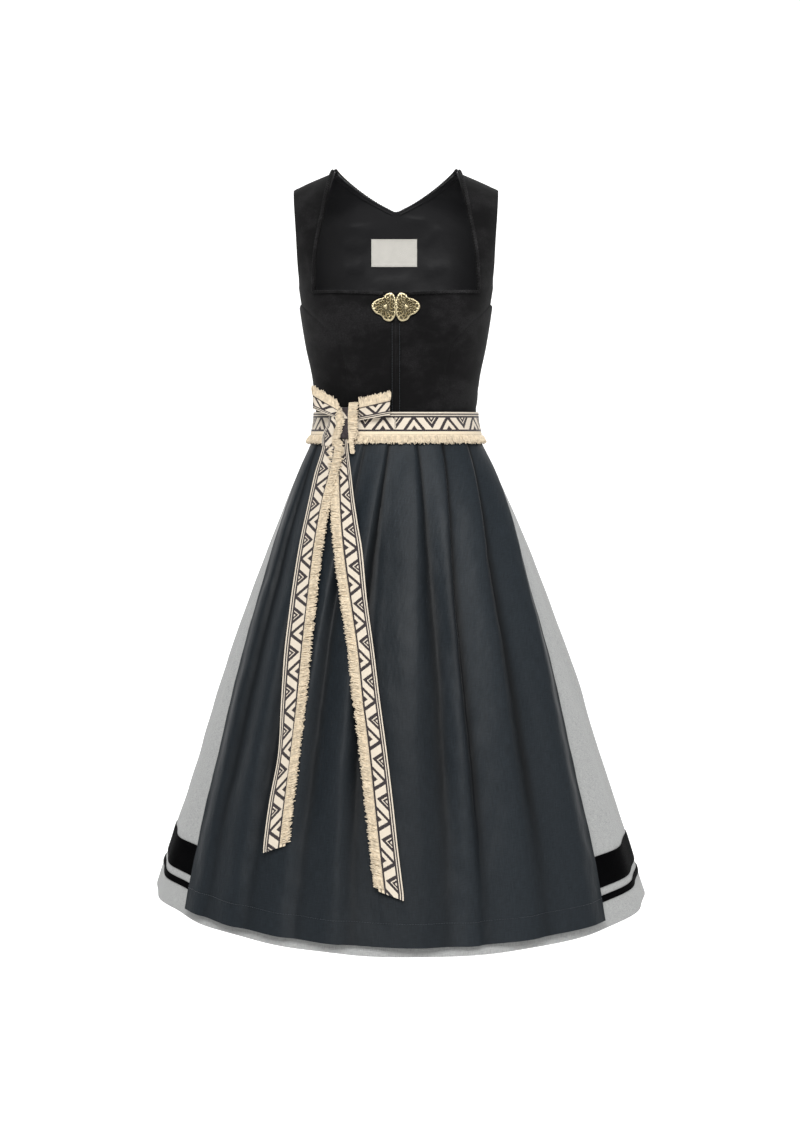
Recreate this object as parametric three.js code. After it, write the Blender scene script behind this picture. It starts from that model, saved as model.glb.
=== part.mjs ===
// Leather dirndl: a fitted leather bodice, a wide skirt with velvet bands, a pleated apron,
// a woven fringed belt tied in a bow, and a metal clasp at the neckline.
// Millimetres, +Z up. The origin lies midway between the shoulder seams, the front faces -Y
// and the wearer's left is +X. Every cloth piece is a thin wall worked out from the sections.
import * as THREE from 'three';
import { mergeVertices } from 'three/addons/utils/BufferGeometryUtils.js';

// Levels
const WAIST_Z = -361;
const HEM_Z = -1081;
const HEM_TILT = 6.5;              // the hem hangs lower at the wearer's left by this much
const SIDE_RISE = 26;              // and is higher at both sides than in front
const SWAY = { share: 0.02, height: 140 };  // the skirt swings out more at the wearer's left
const SHOULDER_Y = 8;
const NECK_X = 88.5;
const NECK_Z = 15;
const TIP_X = 154.5;
const SHOULDER_SLOPE = 0.43;
const TIP_Z = NECK_Z - (TIP_X - NECK_X) * SHOULDER_SLOPE;
const ROLL = { front: 55, back: 70 };

// Cloth
const SEAM = 0.3;
const LEATHER = 1.5;
const LINING = 1;
const SKIRT_CLOTH = 1.5;
const APRON_CLOTH = 1.2;
const RIBBON = 1.5;
const VELVET = 1.2;

// Bodice sections: half width, depth to the front and to the back
const TORSO = [
  { z: -385, half: 122, front: 95, back: 90 },
  { z: -361, half: 119, front: 91, back: 87 },
  { z: -340, half: 121, front: 94, back: 88 },
  { z: -300, half: 125, front: 99, back: 88 },
  { z: -250, half: 135, front: 112, back: 92 },
  { z: -200, half: 143, front: 121, back: 98 },
  { z: -150, half: 150, front: 118, back: 103 },
  { z: -100, half: 160, front: 104, back: 103 },
  { z: -60, half: 164, front: 90, back: 100 },
  { z: -20, half: 167, front: 80, back: 95 },
  { z: 20, half: 170, front: 70, back: 88 },
];
const TORSO_POWER = 2.5;
const BUST = { angle: 36, z: -208, rise: 9, spreadAngle: 14, spreadZ: 42 };

// Skirt sections: half width, depth to the front and to the back, squareness
const SKIRT = [
  { z: -361, half: 119, front: 91, back: 87, power: 2.5, fold: 0.8 },
  { z: -380, half: 121, front: 95, back: 91, power: 2.5, fold: 2 },
  { z: -400, half: 130, front: 103, back: 99, power: 2.45, fold: 3 },
  { z: -430, half: 145, front: 116, back: 112, power: 2.4, fold: 4.5 },
  { z: -502, half: 177, front: 145, back: 140, power: 2.3, fold: 7 },
  { z: -574, half: 206, front: 170, back: 164, power: 2.25, fold: 8.5 },
  { z: -718, half: 258, front: 221, back: 214, power: 2.2, fold: 9.5 },
  { z: -898, half: 313, front: 277, back: 268, power: 2.15, fold: 10 },
  { z: -1081, half: 368, front: 336, back: 326, power: 2.15, fold: 9 },
];
// Soft folds of the skirt: the angle of each ridge and the depth of the valley after it
const SKIRT_FOLDS = [
  { ridge: -50, depth: 0.6 }, { ridge: -28, depth: 0.5 }, { ridge: -6, depth: 0.5 },
  { ridge: 20, depth: 0.5 }, { ridge: 45, depth: 0.6 }, { ridge: 68, depth: 0.8 },
  { ridge: 90, depth: 0.7 }, { ridge: 112, depth: 1 }, { ridge: 138, depth: 0.8 },
  { ridge: 159, depth: 1 }, { ridge: 182, depth: 0.9 }, { ridge: 202, depth: 1 },
  { ridge: 225, depth: 0.7 }, { ridge: 245, depth: 1 }, { ridge: 268, depth: 0.6 },
  { ridge: 288, depth: 0.9 }, { ridge: 310, depth: 0 },
];
const FOLD_COLUMNS = 4;
// Skirt panels, each from one ridge to another
const SKIRT_PANELS = [
  { name: 'front', from: 0, to: 4 }, { name: 'left', from: 4, to: 8 },
  { name: 'back', from: 8, to: 12 }, { name: 'right', from: 12, to: 16 },
];
// Levels of the cloth's rows, shared by the skirt and the apron
const LEVELS = [-361.3, -380, -400, -430, -475, -530, -600, -690, -790, -900];

// Velvet bands, measured along the skirt from its hem
const BANDS = { hem: 36, narrow: 9.5, between: 11, wide: 45 };
const FLARE_HEIGHT = 90;           // the skirt's flare at its hem is taken over this height

// Apron: half span in degrees, room over the skirt, height of the pleats
const APRON = [
  { z: -361, span: 80, room: 0.6, pleat: 0.8 },
  { z: -380, span: 79, room: 0.6, pleat: 1.8 },
  { z: -400, span: 77.5, room: 0.8, pleat: 3.2 },
  { z: -450, span: 73, room: 2, pleat: 7 },
  { z: -520, span: 69, room: 2.5, pleat: 10.5 },
  { z: -628, span: 64.7, room: 2.6, pleat: 12.5 },
  { z: -780, span: 61.2, room: 2.6, pleat: 13 },
  { z: -930, span: 59, room: 2.6, pleat: 11.5 },
  { z: -1068, span: 55.5, room: 2.6, pleat: 9 },
];
const APRON_HEM = 13;              // the apron ends this far above the skirt's hem
// Pleat lines of the apron as shares of its half span at the waist, half way and at the hem,
// and the share of the full height that the pleat before the line reaches
const PLEATS = [
  { top: -1, mid: -1, low: -1, height: 0 },
  { top: -0.8, mid: -0.84, low: -0.86, height: 0.55 },
  { top: -0.55, mid: -0.62, low: -0.64, height: 0.9 },
  { top: -0.29, mid: -0.4, low: -0.42, height: 0.85 },
  { top: -0.04, mid: -0.19, low: -0.18, height: 1 },
  { top: 0.22, mid: 0.25, low: 0.23, height: 0.95 },
  { top: 0.48, mid: 0.4, low: 0.4, height: 1 },
  { top: 0.73, mid: 0.68, low: 0.68, height: 0.9 },
  { top: 1, mid: 1, low: 1, height: 0.75 },
];
// Where the ridge stands between two pleat lines, and how soon it gets there down the apron
const RIDGE = { top: 0.86, low: 0.66, pace: 1.6 };
const PLEAT_COLUMNS = [0, 0.25, 0.5, 0.72, 0.88];
const APRON_LEVELS = [...LEVELS, -990, HEM_Z + APRON_HEM];

// Edges of the bodice panels: x against z
const NECK_FRONT = [
  { z: -170, x: 118 }, { z: -116, x: 115 }, { z: -59, x: 105 }, { z: -25, x: 98 }, { z: 15, x: NECK_X },
];
const ARMHOLE = [
  { z: -196, x: 139 }, { z: -188, x: 141 }, { z: -140, x: 146 }, { z: -90, x: 149 }, { z: -50, x: 152 },
  { z: TIP_Z, x: TIP_X },
];
const PRINCESS_FRONT = [
  { z: -361, x: 66 }, { z: -345, x: 67 }, { z: -295, x: 72 }, { z: -248, x: 83 }, { z: -224, x: 104 },
  { z: -202, x: 128 }, { z: -188, x: 141 },
];
const PRINCESS_BACK = [
  { z: -361, x: 58 }, { z: -310, x: 64 }, { z: -260, x: 82 }, { z: -215, x: 112 }, { z: -186, x: 139 },
];
const SIDE_TOP = -196;
const FRONT_TOP = -188;
const BACK_TOP = -186;
const NECKLINE = { middle: -175, corner: -169, cornerX: 118, armhole: -163, armholeX: 145 };
const BACK_NECK = { point: -38.5, sag: 3, armhole: -95 };
const LOWER_ROWS = 8;
const STRAP_ROWS = 8;
const NECK_ROW = LOWER_ROWS + 1;
const NECK_COLUMNS = 5;            // columns under the neckline, before those under the strap
const STRAP_COLUMNS = 3;
const CORNER_ROOM = 0.01;

// Small parts
const PLACKET = { width: 6.4, thick: 0.9, room: 0.5, end: 6.6 };
// The piping's seat: shares of a panel's width, and rows above or below the neck edge
const PIPING = { radius: 2.3, sides: 6, inset: 0.015, end: 0.13, above: 0.25, below: 0.16, point: 0.05 };
const FACING = { width: 9, room: 0.7, short: 0.2 };
// Thickness of the neck facing across its width, with a ridge at each of its edges
const FACING_RIDGES = [
  { share: 0.02, thick: 0.96 }, { share: 0.28, thick: 1.32 }, { share: 0.5, thick: 0.66 },
  { share: 0.74, thick: 1.2 }, { share: 1, thick: 0.6 },
];
const LINING_SHORT = 0.06;
const LABEL = { width: 71, height: 43, x: -3, z: -100, thick: 0.6, room: 0.8 };
const BELT = [
  { z: -347, room: 1.9 }, { z: -361, room: 4.2 }, { z: -380, room: 5.8 }, { z: -394, room: 6.4 },
];
const BELT_TOP = -347;
const BELT_LOW = -380;
const BELT_COLUMNS = 48;
const FRINGE_LOW = -393.5;
const STRIP = 0.26;                // share of a fringe that is its root strip
const LOCK = { pitch: 18, loopPitch: 12.6, width: 0.72, taper: 0.22 };
const KNOT = { left: -86, right: -59, top: -341, low: -386, edge: 7, rise: 10, round: 0.7 };
const CLASP = { z: -195.7, centreX: 15, base: 1.3, gap: 0.4, columns: 28 };
// Outline of one clasp half about its centre, and the height of its relief from centre to rim
const CLASP_OUTLINE = [
  { angle: -180, reach: 14.6 }, { angle: -140, reach: 19 }, { angle: -111, reach: 21.8 },
  { angle: -85, reach: 18.5 }, { angle: -62, reach: 13.9 }, { angle: -30, reach: 17 },
  { angle: 5, reach: 20.6 }, { angle: 38, reach: 16.8 }, { angle: 73, reach: 13.8 },
  { angle: 95, reach: 19 }, { angle: 116, reach: 22.4 }, { angle: 145, reach: 18.5 },
  { angle: 180, reach: 14.6 },
];
const CLASP_RELIEF = [
  { share: 0, height: 3.8 }, { share: 0.5, height: 2.2 }, { share: 0.8, height: 1.6 },
  { share: 0.9, height: 3 }, { share: 1, height: 1.2 },
];

// Belt ends: edges of each hanging tail against z, and its distance out from the skirt
const TAIL_LEFT = [
  { z: -386.6, stripe: -104, fringe: -69, lift: 12 },
  { z: -402, stripe: -112, fringe: -74, lift: 12 },
  { z: -438, stripe: -120, fringe: -85, lift: 13 },
  { z: -474, stripe: -128.6, fringe: -97, lift: 14 },
  { z: -545, stripe: -142, fringe: -106, lift: 16.4 },
  { z: -615, stripe: -153, fringe: -112, lift: 17.8 },
  { z: -685, stripe: -160, fringe: -119, lift: 18 },
  { z: -753, stripe: -163, fringe: -126, lift: 18 },
  { z: -821, stripe: -166.5, fringe: -136, lift: 18 },
  { z: -888, stripe: -178, fringe: -142, lift: 17.8 },
  { z: -947, stripe: -185, fringe: -148, lift: 17.4 },
];
const TAIL_RIGHT = [
  { z: -386.6, stripe: -62, fringe: -94, lift: 8.6 },
  { z: -402, stripe: -64.5, fringe: -95, lift: 8.6 },
  { z: -438, stripe: -64.7, fringe: -94, lift: 10.2 },
  { z: -473, stripe: -61.5, fringe: -94, lift: 12.2 },
  { z: -508, stripe: -55.4, fringe: -93.7, lift: 14.8 },
  { z: -543, stripe: -51, fringe: -91.5, lift: 16.4 },
  { z: -612, stripe: -40.8, fringe: -78.7, lift: 17.8 },
  { z: -680, stripe: -30.7, fringe: -67, lift: 18 },
  { z: -746, stripe: -22, fringe: -60, lift: 18 },
  { z: -813, stripe: -12.4, fringe: -51, lift: 18 },
  { z: -878, stripe: -4, fringe: -43.7, lift: 17.2 },
  { z: -942, stripe: 3.4, fringe: -36, lift: 16.2 },
  { z: -1000, stripe: 11, fringe: -29, lift: 15.4 },
];
const RIBBON_SHARE = 0.73;         // share of a tail's width that is ribbon, the rest is fringe
const FRINGE_SHARE = 0.754;        // where its fringe begins
const TAIL_ROWS = { count: 15, crowd: 1.25 };
const CUT_SLANT = 14;              // a tail is cut off at a slant, longer at its stripes
// Bow loops: from the knot to the fold, how far they open, and their lower and upper edge
const LOOPS = {
  left: {
    knot: -87, fold: -121, yKnot: -93, yFold: -76, open: 5.6,
    low: -366, high: -338, tiltLow: 24, tiltHigh: 20,
  },
  right: {
    knot: -58, fold: -9, yKnot: -95.3, yFold: -104.9, open: 4.8,
    low: -359, high: -338, tiltLow: 9, tiltHigh: 9,
  },
};
const LOOP_ENDS = { start: 0.03, fold: 0.5, end: 0.97, steps: 14 };
const LOOP_FRINGE = 11;

const COLOUR = {
  suede: '#1d1c1d', satin: '#27262a', skirt: '#b7b9b8', taffeta: '#2b3037', velvet: '#0d0d0f',
  ribbon: '#f3e4d2', fringe: '#e4d1b8', metal: '#b9a26c', label: '#d1ccc4',
};

const RAD = Math.PI / 180;
const { lerp, clamp } = THREE.MathUtils;

// A column of a table read at any height by a smooth curve that never overshoots its rows
function read(table, column, at, key = 'z') {
  const rows = [...table].sort((p, q) => p[key] - q[key]);
  const last = rows.length - 1;
  if (at <= rows[0][key]) return rows[0][column];
  if (at >= rows[last][key]) return rows[last][column];
  const slope = (i) => (rows[i + 1][column] - rows[i][column]) / (rows[i + 1][key] - rows[i][key]);
  const tangent = (i) => {
    if (i === 0) return slope(0);
    if (i === last) return slope(last - 1);
    const before = slope(i - 1);
    const after = slope(i);
    return before * after <= 0 ? 0 : (2 * before * after) / (before + after);
  };
  let i = 0;
  while (at > rows[i + 1][key]) i += 1;
  const span = rows[i + 1][key] - rows[i][key];
  const t = (at - rows[i][key]) / span;
  const t2 = t * t;
  const t3 = t2 * t;
  return (2 * t3 - 3 * t2 + 1) * rows[i][column] + (t3 - 2 * t2 + t) * span * tangent(i)
    + (3 * t2 - 2 * t3) * rows[i + 1][column] + (t3 - t2) * span * tangent(i + 1);
}

// Reach of a rounded section from its centre; the angle is 0 at the front and grows to +X
function reach(angle, half, front, back, power) {
  const across = Math.abs(Math.sin(angle)) / half;
  const along = Math.abs(Math.cos(angle)) / (Math.cos(angle) > 0 ? front : back);
  return (across ** power + along ** power) ** (-1 / power);
}

// Angle at which a surface reaches a given x, on its front or its back half
function angleAt(radius, x, z, back = false) {
  let low = 0;
  let high = Math.PI / 2;
  for (let i = 0; i < 40; i += 1) {
    const middle = (low + high) / 2;
    if (radius(back ? Math.PI - middle : middle, z) * Math.sin(middle) < Math.abs(x)) low = middle;
    else high = middle;
  }
  const angle = back ? Math.PI - low : low;
  return x < 0 ? -angle : angle;
}

function torsoRadius(angle, z) {
  const [half, front, back] = ['half', 'front', 'back'].map((column) => read(TORSO, column, z));
  const round = reach(angle, half, front, back, TORSO_POWER);
  const hump = (centre) => Math.exp(-(((angle / RAD - centre) / BUST.spreadAngle) ** 2) / 2);
  const level = Math.exp(-(((z - BUST.z) / BUST.spreadZ) ** 2) / 2);
  return round + BUST.rise * level * (hump(BUST.angle) + hump(-BUST.angle));
}

// Outer face of the bodice, which rolls over the shoulder at the top
function torsoPoint(angle, z) {
  const radius = torsoRadius(angle, z);
  const x = radius * Math.sin(angle);
  const y = -radius * Math.cos(angle);
  const roll = y < 0 ? ROLL.front : ROLL.back;
  const start = NECK_Z - (Math.abs(x) - NECK_X) * SHOULDER_SLOPE - roll;
  if (z <= start) return [x, y, z];
  const climb = clamp((z - start) / roll, 0, 1);
  const seamY = SHOULDER_Y + (y < 0 ? -SEAM / 2 : SEAM / 2);
  return [x, seamY + (y - seamY) * Math.sqrt(1 - climb * climb), z];
}

const torsoAt = (x, z, back) => torsoPoint(angleAt(torsoRadius, x, z, back), z);

function skirtRadius(angle, z) {
  const even = reach(angle, ...['half', 'front', 'back', 'power'].map((column) => read(SKIRT, column, z)));
  return even * (1 + SWAY.share * clamp((WAIST_Z - z) / SWAY.height, 0, 1) * Math.sin(angle));
}

// A level hangs a little lower at the wearer's left and higher at both sides, towards the hem
function tilted(z, angle) {
  const depth = clamp((WAIST_Z - z) / (WAIST_Z - HEM_Z), 0, 1);
  const turn = Math.sin(angle);
  return z - HEM_TILT * depth * turn + SIDE_RISE * depth ** 3 * turn * turn;
}

// The skirt: u counts folds round it from the first ridge, and each fold dips inward
function skirtSurface(u, z) {
  const fold = clamp(Math.floor(u), 0, SKIRT_FOLDS.length - 2);
  const share = u - fold;
  const angle = lerp(SKIRT_FOLDS[fold].ridge, SKIRT_FOLDS[fold + 1].ridge, share) * RAD;
  const dip = read(SKIRT, 'fold', z) * SKIRT_FOLDS[fold].depth * Math.sin(Math.PI * share) ** 2;
  const out = skirtRadius(angle, z) - dip;
  return [out * Math.sin(angle), -out * Math.cos(angle), tilted(z, angle)];
}

// Angle of a pleat line at a height, by its number
function pleatAngle(line, z) {
  const mid = (WAIST_Z + HEM_Z) / 2;
  const rows = [{ z: WAIST_Z, s: line.top }, { z: mid, s: line.mid }, { z: HEM_Z, s: line.low }];
  return read(rows, 's', z) * read(APRON, 'span', z) * RAD;
}

// The apron: u counts pleats across, and each pleat rises to its ridge and drops at its line
function apronRadius(pleat, share, z) {
  const angle = lerp(pleatAngle(PLEATS[pleat], z), pleatAngle(PLEATS[pleat + 1], z), share);
  const fall = (WAIST_Z - z) / (WAIST_Z - HEM_Z);
  const ridge = lerp(RIDGE.top, RIDGE.low, clamp(fall * RIDGE.pace, 0, 1));
  const rise = share < ridge ? share / ridge : (1 - share) / (1 - ridge);
  const height = PLEATS[pleat + 1].height * read(APRON, 'pleat', z) * Math.sin(Math.PI / 2 * rise) ** 2;
  return { angle, radius: skirtRadius(angle, z) + read(APRON, 'room', z) + height };
}

function beltRadius(angle, z) {
  const under = z > WAIST_Z ? torsoRadius(angle, z) : skirtRadius(angle, z);
  return under + read(BELT, 'room', z);
}

function onRadius(radius, x, z) {
  const angle = angleAt(radius, x, z);
  const out = radius(angle, z);
  return [out * Math.sin(angle), -out * Math.cos(angle), z];
}

const wrap = (angle) => (angle > Math.PI ? angle - 2 * Math.PI : angle);

// Shared tools for walls
const steps = (from, to, count) => Array.from({ length: count + 1 }, (_, i) => lerp(from, to, i / count));
const vector = (point) => new THREE.Vector3(...point);

// Unit normal of a surface, read no further than the given ranges of u and v
function normalAt(surface, u, v, uRange, vRange) {
  const h = 1e-3;
  const uLow = Math.max(u - h, uRange[0]);
  const uHigh = Math.min(u + h, uRange[1]);
  const vLow = Math.max(v - h, vRange[0]);
  const vHigh = Math.min(v + h, vRange[1]);
  const along = vector(surface(uHigh, v)).sub(vector(surface(uLow, v)));
  const up = vector(surface(u, vHigh)).sub(vector(surface(u, vLow)));
  return along.cross(up).normalize();
}

const mesh = (name, geometry, colour, roughness = 0.8, metalness = 0) => {
  const material = new THREE.MeshStandardMaterial({ color: colour, roughness, metalness });
  const made = new THREE.Mesh(geometry, material);
  made.name = name;
  return made;
};

// One closed wall over a grid of a surface, from `inner` to `outer` along its normals.
// `filled` says which cells have cloth, and `closed` joins the last column to the first.
// `guide` points out of the cloth at its middle column, `shape` gives the u and v of a grid
// point, and `ranges` keeps a normal to one side of a corner in the surface.
function wall(surface, us, vs, options) {
  const { outer, inner, closed = false, filled = () => true, guide = null, shape = null } = options;
  const uRange = closed ? [-Infinity, Infinity] : [Math.min(...us), Math.max(...us)];
  const vRange = [Math.min(...vs), Math.max(...vs)];
  const ranges = options.ranges ?? (() => [uRange, vRange]);
  const middle = [us[Math.floor(us.length / 2)], vs[1]];
  const centre = vector(surface(...middle));
  const lookout = guide ? vector(guide) : new THREE.Vector3(centre.x, centre.y, 0);
  const sense = Math.sign(normalAt(surface, ...middle, ...ranges(...middle)).dot(lookout));
  const columns = closed ? us.length : us.length - 1;
  const points = [];
  const value = (depth, i, j) => (typeof depth === 'function' ? depth(us[i], vs[j]) : depth);
  const face = (depth) => us.map((u, i) => vs.map((v, j) => {
    const [pu, pv] = shape ? shape(i, j) : [u, v];
    const normal = normalAt(surface, pu, pv, ...ranges(pu, pv)).multiplyScalar(sense);
    points.push(vector(surface(pu, pv)).addScaledVector(normal, value(depth, i, j)));
    return points.length - 1;
  }));
  const outside = face(outer);
  const inside = face(inner);
  const triangles = [];
  const quad = (a, b, c, d) => triangles.push([a, b, c], [a, c, d]);
  const has = (i, j) => {
    if (j < 0 || j >= vs.length - 1) return false;
    if (!closed && (i < 0 || i >= columns)) return false;
    return filled((i + columns) % columns, j);
  };
  for (let i = 0; i < columns; i += 1) {
    const next = (i + 1) % us.length;
    for (let j = 0; j < vs.length - 1; j += 1) {
      if (has(i, j)) {
        quad(outside[i][j], outside[next][j], outside[next][j + 1], outside[i][j + 1]);
        quad(inside[i][j], inside[i][j + 1], inside[next][j + 1], inside[next][j]);
        if (!has(i, j - 1)) quad(outside[i][j], inside[i][j], inside[next][j], outside[next][j]);
        if (!has(i, j + 1)) {
          quad(outside[next][j + 1], inside[next][j + 1], inside[i][j + 1], outside[i][j + 1]);
        }
        if (!has(i - 1, j)) quad(outside[i][j + 1], inside[i][j + 1], inside[i][j], outside[i][j]);
        if (!has(i + 1, j)) {
          quad(outside[next][j], inside[next][j], inside[next][j + 1], outside[next][j + 1]);
        }
      }
    }
  }
  return solid(points, triangles);
}

// A geometry from points and triangles, merged, without empty triangles, faces pointing out
function solid(points, triangles) {
  const geometry = new THREE.BufferGeometry();
  geometry.setAttribute('position', new THREE.Float32BufferAttribute(points.flatMap((p) => p.toArray()), 3));
  geometry.setIndex(triangles.flat());
  const merged = mergeVertices(geometry, 1e-3);
  const place = merged.getAttribute('position');
  const kept = [];
  const corners = [new THREE.Vector3(), new THREE.Vector3(), new THREE.Vector3()];
  let volume = 0;
  for (let i = 0; i < merged.index.count; i += 3) {
    const [a, b, c] = [0, 1, 2].map((k) => merged.index.getX(i + k));
    if (a !== b && b !== c && c !== a) {
      kept.push([a, b, c]);
      [a, b, c].forEach((id, k) => corners[k].fromBufferAttribute(place, id));
      volume += corners[0].dot(corners[1].clone().cross(corners[2]));
    }
  }
  merged.setIndex((volume < 0 ? kept.map(([a, b, c]) => [a, c, b]) : kept).flat());
  merged.computeVertexNormals();
  return merged;
}

// A panel is narrowed to keep half a seam's gap at both of its long edges
function seamed(surface, from = 0, to = 1) {
  return (u, v) => {
    const width = vector(surface(to, v)).distanceTo(vector(surface(from, v)));
    const inset = (SEAM / 2) / Math.max(width, 1);
    return surface(lerp(lerp(from, to, inset), lerp(to, from, inset), (u - from) / (to - from)), v);
  };
}

// Height of row v of the panels' lower part, which ends at `top`
const lowerZ = (v, top) => lerp(WAIST_Z, top, clamp(v / LOWER_ROWS, 0, 1));
const NECK_SHARE = NECKLINE.cornerX / NECKLINE.armholeX;

// Front panel: u 0 at the centre front, 1 at the princess seam and armhole
function frontPanel(side) {
  return (u, v) => {
    if (v <= LOWER_ROWS) {
      const z = lowerZ(v, FRONT_TOP);
      return torsoAt(side * u * read(PRINCESS_FRONT, 'x', z), z);
    }
    if (v <= NECK_ROW) {
      const t = v - LOWER_ROWS;
      const edge = u < NECK_SHARE
        ? lerp(NECKLINE.middle, NECKLINE.corner, u / NECK_SHARE)
        : lerp(NECKLINE.corner, NECKLINE.armhole, (u - NECK_SHARE) / (1 - NECK_SHARE));
      const x = u * lerp(read(PRINCESS_FRONT, 'x', FRONT_TOP), NECKLINE.armholeX, t);
      return torsoAt(side * x, lerp(FRONT_TOP, edge, t));
    }
    const share = clamp((u - NECK_SHARE) / (1 - NECK_SHARE), 0, 1);
    const s = (v - NECK_ROW) / STRAP_ROWS;
    const neckZ = strapZ(s, NECKLINE.corner, NECK_Z, ROLL.front);
    const armZ = strapZ(s, NECKLINE.armhole, TIP_Z, ROLL.front);
    const armX = s === 0 ? NECKLINE.armholeX : read(ARMHOLE, 'x', armZ);
    return torsoAt(side * lerp(read(NECK_FRONT, 'x', neckZ), armX, share), lerp(neckZ, armZ, share));
  };
}

// The front panel turns a corner at the neckline, so its strap is read by itself
const frontRanges = (u, v) => (v > NECK_ROW
  ? [[NECK_SHARE - CORNER_ROOM, 1], [NECK_ROW, NECK_ROW + STRAP_ROWS]] : [[0, 1], [0, NECK_ROW]]);

// The strap climbs straight in its first half and rolls over the shoulder in its second
function strapZ(s, low, high, roll) {
  if (s <= 0.5) return lerp(low, high - roll, s * 2);
  return high - roll + roll * Math.sin((s - 0.5) * Math.PI);
}

// Side front panel: u 0 at the princess seam, 1 at the side seam
function sideFrontPanel(side) {
  return (u, v) => {
    const seamZ = lowerZ(v, FRONT_TOP);
    const angle = angleAt(torsoRadius, read(PRINCESS_FRONT, 'x', seamZ), seamZ);
    return torsoPoint(side * lerp(angle, Math.PI / 2, u), lerp(seamZ, lowerZ(v, SIDE_TOP), u));
  };
}

// Side back panel: u 0 at the back princess seam, 1 at the side seam
function sideBackPanel(side) {
  return (u, v) => {
    const seamZ = lowerZ(v, BACK_TOP);
    const angle = angleAt(torsoRadius, read(PRINCESS_BACK, 'x', seamZ), seamZ, true);
    return torsoPoint(side * lerp(angle, Math.PI / 2, u), lerp(seamZ, lowerZ(v, SIDE_TOP), u));
  };
}

// Rows of the back panel above the princess seam: up to the neck point, then along the V
const BACK_MIDDLE_ROWS = 3;
const BACK_V_ROWS = 6;
const V_ROW = LOWER_ROWS + BACK_MIDDLE_ROWS;

function vEdge(s) {
  const slope = (NECK_Z - BACK_NECK.point) / NECK_X;
  const roofZ = NECK_Z + NECK_X * SHOULDER_SLOPE - ROLL.back;
  const rollX = (roofZ - BACK_NECK.point) / (slope + SHOULDER_SLOPE);
  const first = 1 / BACK_V_ROWS;
  const x = s < first ? rollX * s / first
    : rollX + (NECK_X - rollX) * Math.sin((s - first) / (1 - first) * Math.PI / 2);
  const z = BACK_NECK.point + slope * x - BACK_NECK.sag * Math.sin(Math.PI * x / NECK_X);
  return { x, z };
}

function backArm(s) {
  const first = 1 / BACK_V_ROWS;
  const z = s < first ? lerp(BACK_NECK.armhole, TIP_Z - ROLL.back, s / first)
    : TIP_Z - ROLL.back + ROLL.back * Math.sin((s - first) / (1 - first) * Math.PI / 2);
  return { x: read(ARMHOLE, 'x', z), z };
}

// Back panel: u 0 at the centre back and the V neck, 1 at the princess seam and armhole
function backPanel(side) {
  return (u, v) => {
    if (v <= LOWER_ROWS) {
      const z = lowerZ(v, BACK_TOP);
      return torsoAt(side * u * read(PRINCESS_BACK, 'x', z), z, true);
    }
    if (v <= V_ROW) {
      const t = (v - LOWER_ROWS) / BACK_MIDDLE_ROWS;
      const armZ = lerp(BACK_TOP, BACK_NECK.armhole, t);
      const armX = lerp(read(PRINCESS_BACK, 'x', BACK_TOP), read(ARMHOLE, 'x', BACK_NECK.armhole), t);
      return torsoAt(side * u * armX, lerp(lerp(BACK_TOP, BACK_NECK.point, t), armZ, u), true);
    }
    const s = (v - V_ROW) / BACK_V_ROWS;
    const neck = vEdge(s);
    const arm = backArm(s);
    return torsoAt(side * lerp(neck.x, arm.x, u), lerp(neck.z, arm.z, u), true);
  };
}

const FRONT_US = [...steps(0, NECK_SHARE, NECK_COLUMNS), ...steps(NECK_SHARE, 1, STRAP_COLUMNS).slice(1)];
const FRONT_VS = steps(0, NECK_ROW + STRAP_ROWS, NECK_ROW + STRAP_ROWS);
const BACK_US = [0, 0.13, 0.3, 0.5, 0.74, 1];
const BACK_VS = steps(0, V_ROW + BACK_V_ROWS, V_ROW + BACK_V_ROWS);
const SIDE_NAMES = [[1, 'left'], [-1, 'right']];

function bodice() {
  const group = new THREE.Group();
  const cloth = { outer: 0, inner: -LEATHER };
  const suede = (name, surface, us, vs, options) => {
    group.add(mesh(name, wall(seamed(surface), us, vs, { ...cloth, ...options }), COLOUR.suede));
  };
  const sideRows = steps(0, LOWER_ROWS, LOWER_ROWS);
  const sideColumns = steps(0, 1, 3);
  for (const [side, name] of SIDE_NAMES) {
    const outward = { guide: [side, 0, 0] };
    suede(`bodice_front_${name}`, frontPanel(side), FRONT_US, FRONT_VS, {
      filled: (i, j) => j < NECK_ROW || i >= NECK_COLUMNS, guide: [0, -1, 0], ranges: frontRanges,
    });
    suede(`bodice_side_front_${name}`, sideFrontPanel(side), sideColumns, sideRows, outward);
    suede(`bodice_side_back_${name}`, sideBackPanel(side), sideColumns, sideRows, outward);
    suede(`bodice_back_${name}`, backPanel(side), BACK_US, BACK_VS, { guide: [0, 1, 0] });
    group.add(
      mesh(`back_lining_${name}`, backLining(side), COLOUR.satin, 0.45),
      mesh(`back_neck_facing_${name}`, neckFacing(side), COLOUR.satin, 0.5),
      mesh(`front_placket_${name}`, placket(side), COLOUR.suede),
      mesh(`neck_piping_front_${name}`, frontPiping(side), COLOUR.suede),
    );
  }
  group.add(
    mesh('neck_piping_back', backPiping(), COLOUR.suede),
    mesh('back_label', label(), COLOUR.label),
  );
  return group;
}

// Rows of the back panel that stop short of the shoulder seam by a share of a row
const shortRows = (short) => [...BACK_VS.slice(0, -1), BACK_VS.at(-1) - short];

// The lining inside the back panel
function backLining(side) {
  const depth = LEATHER + SEAM;
  return wall(seamed(backPanel(side)), BACK_US, shortRows(LINING_SHORT), {
    outer: -depth, inner: -depth - LINING, guide: [0, 1, 0],
  });
}

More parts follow.
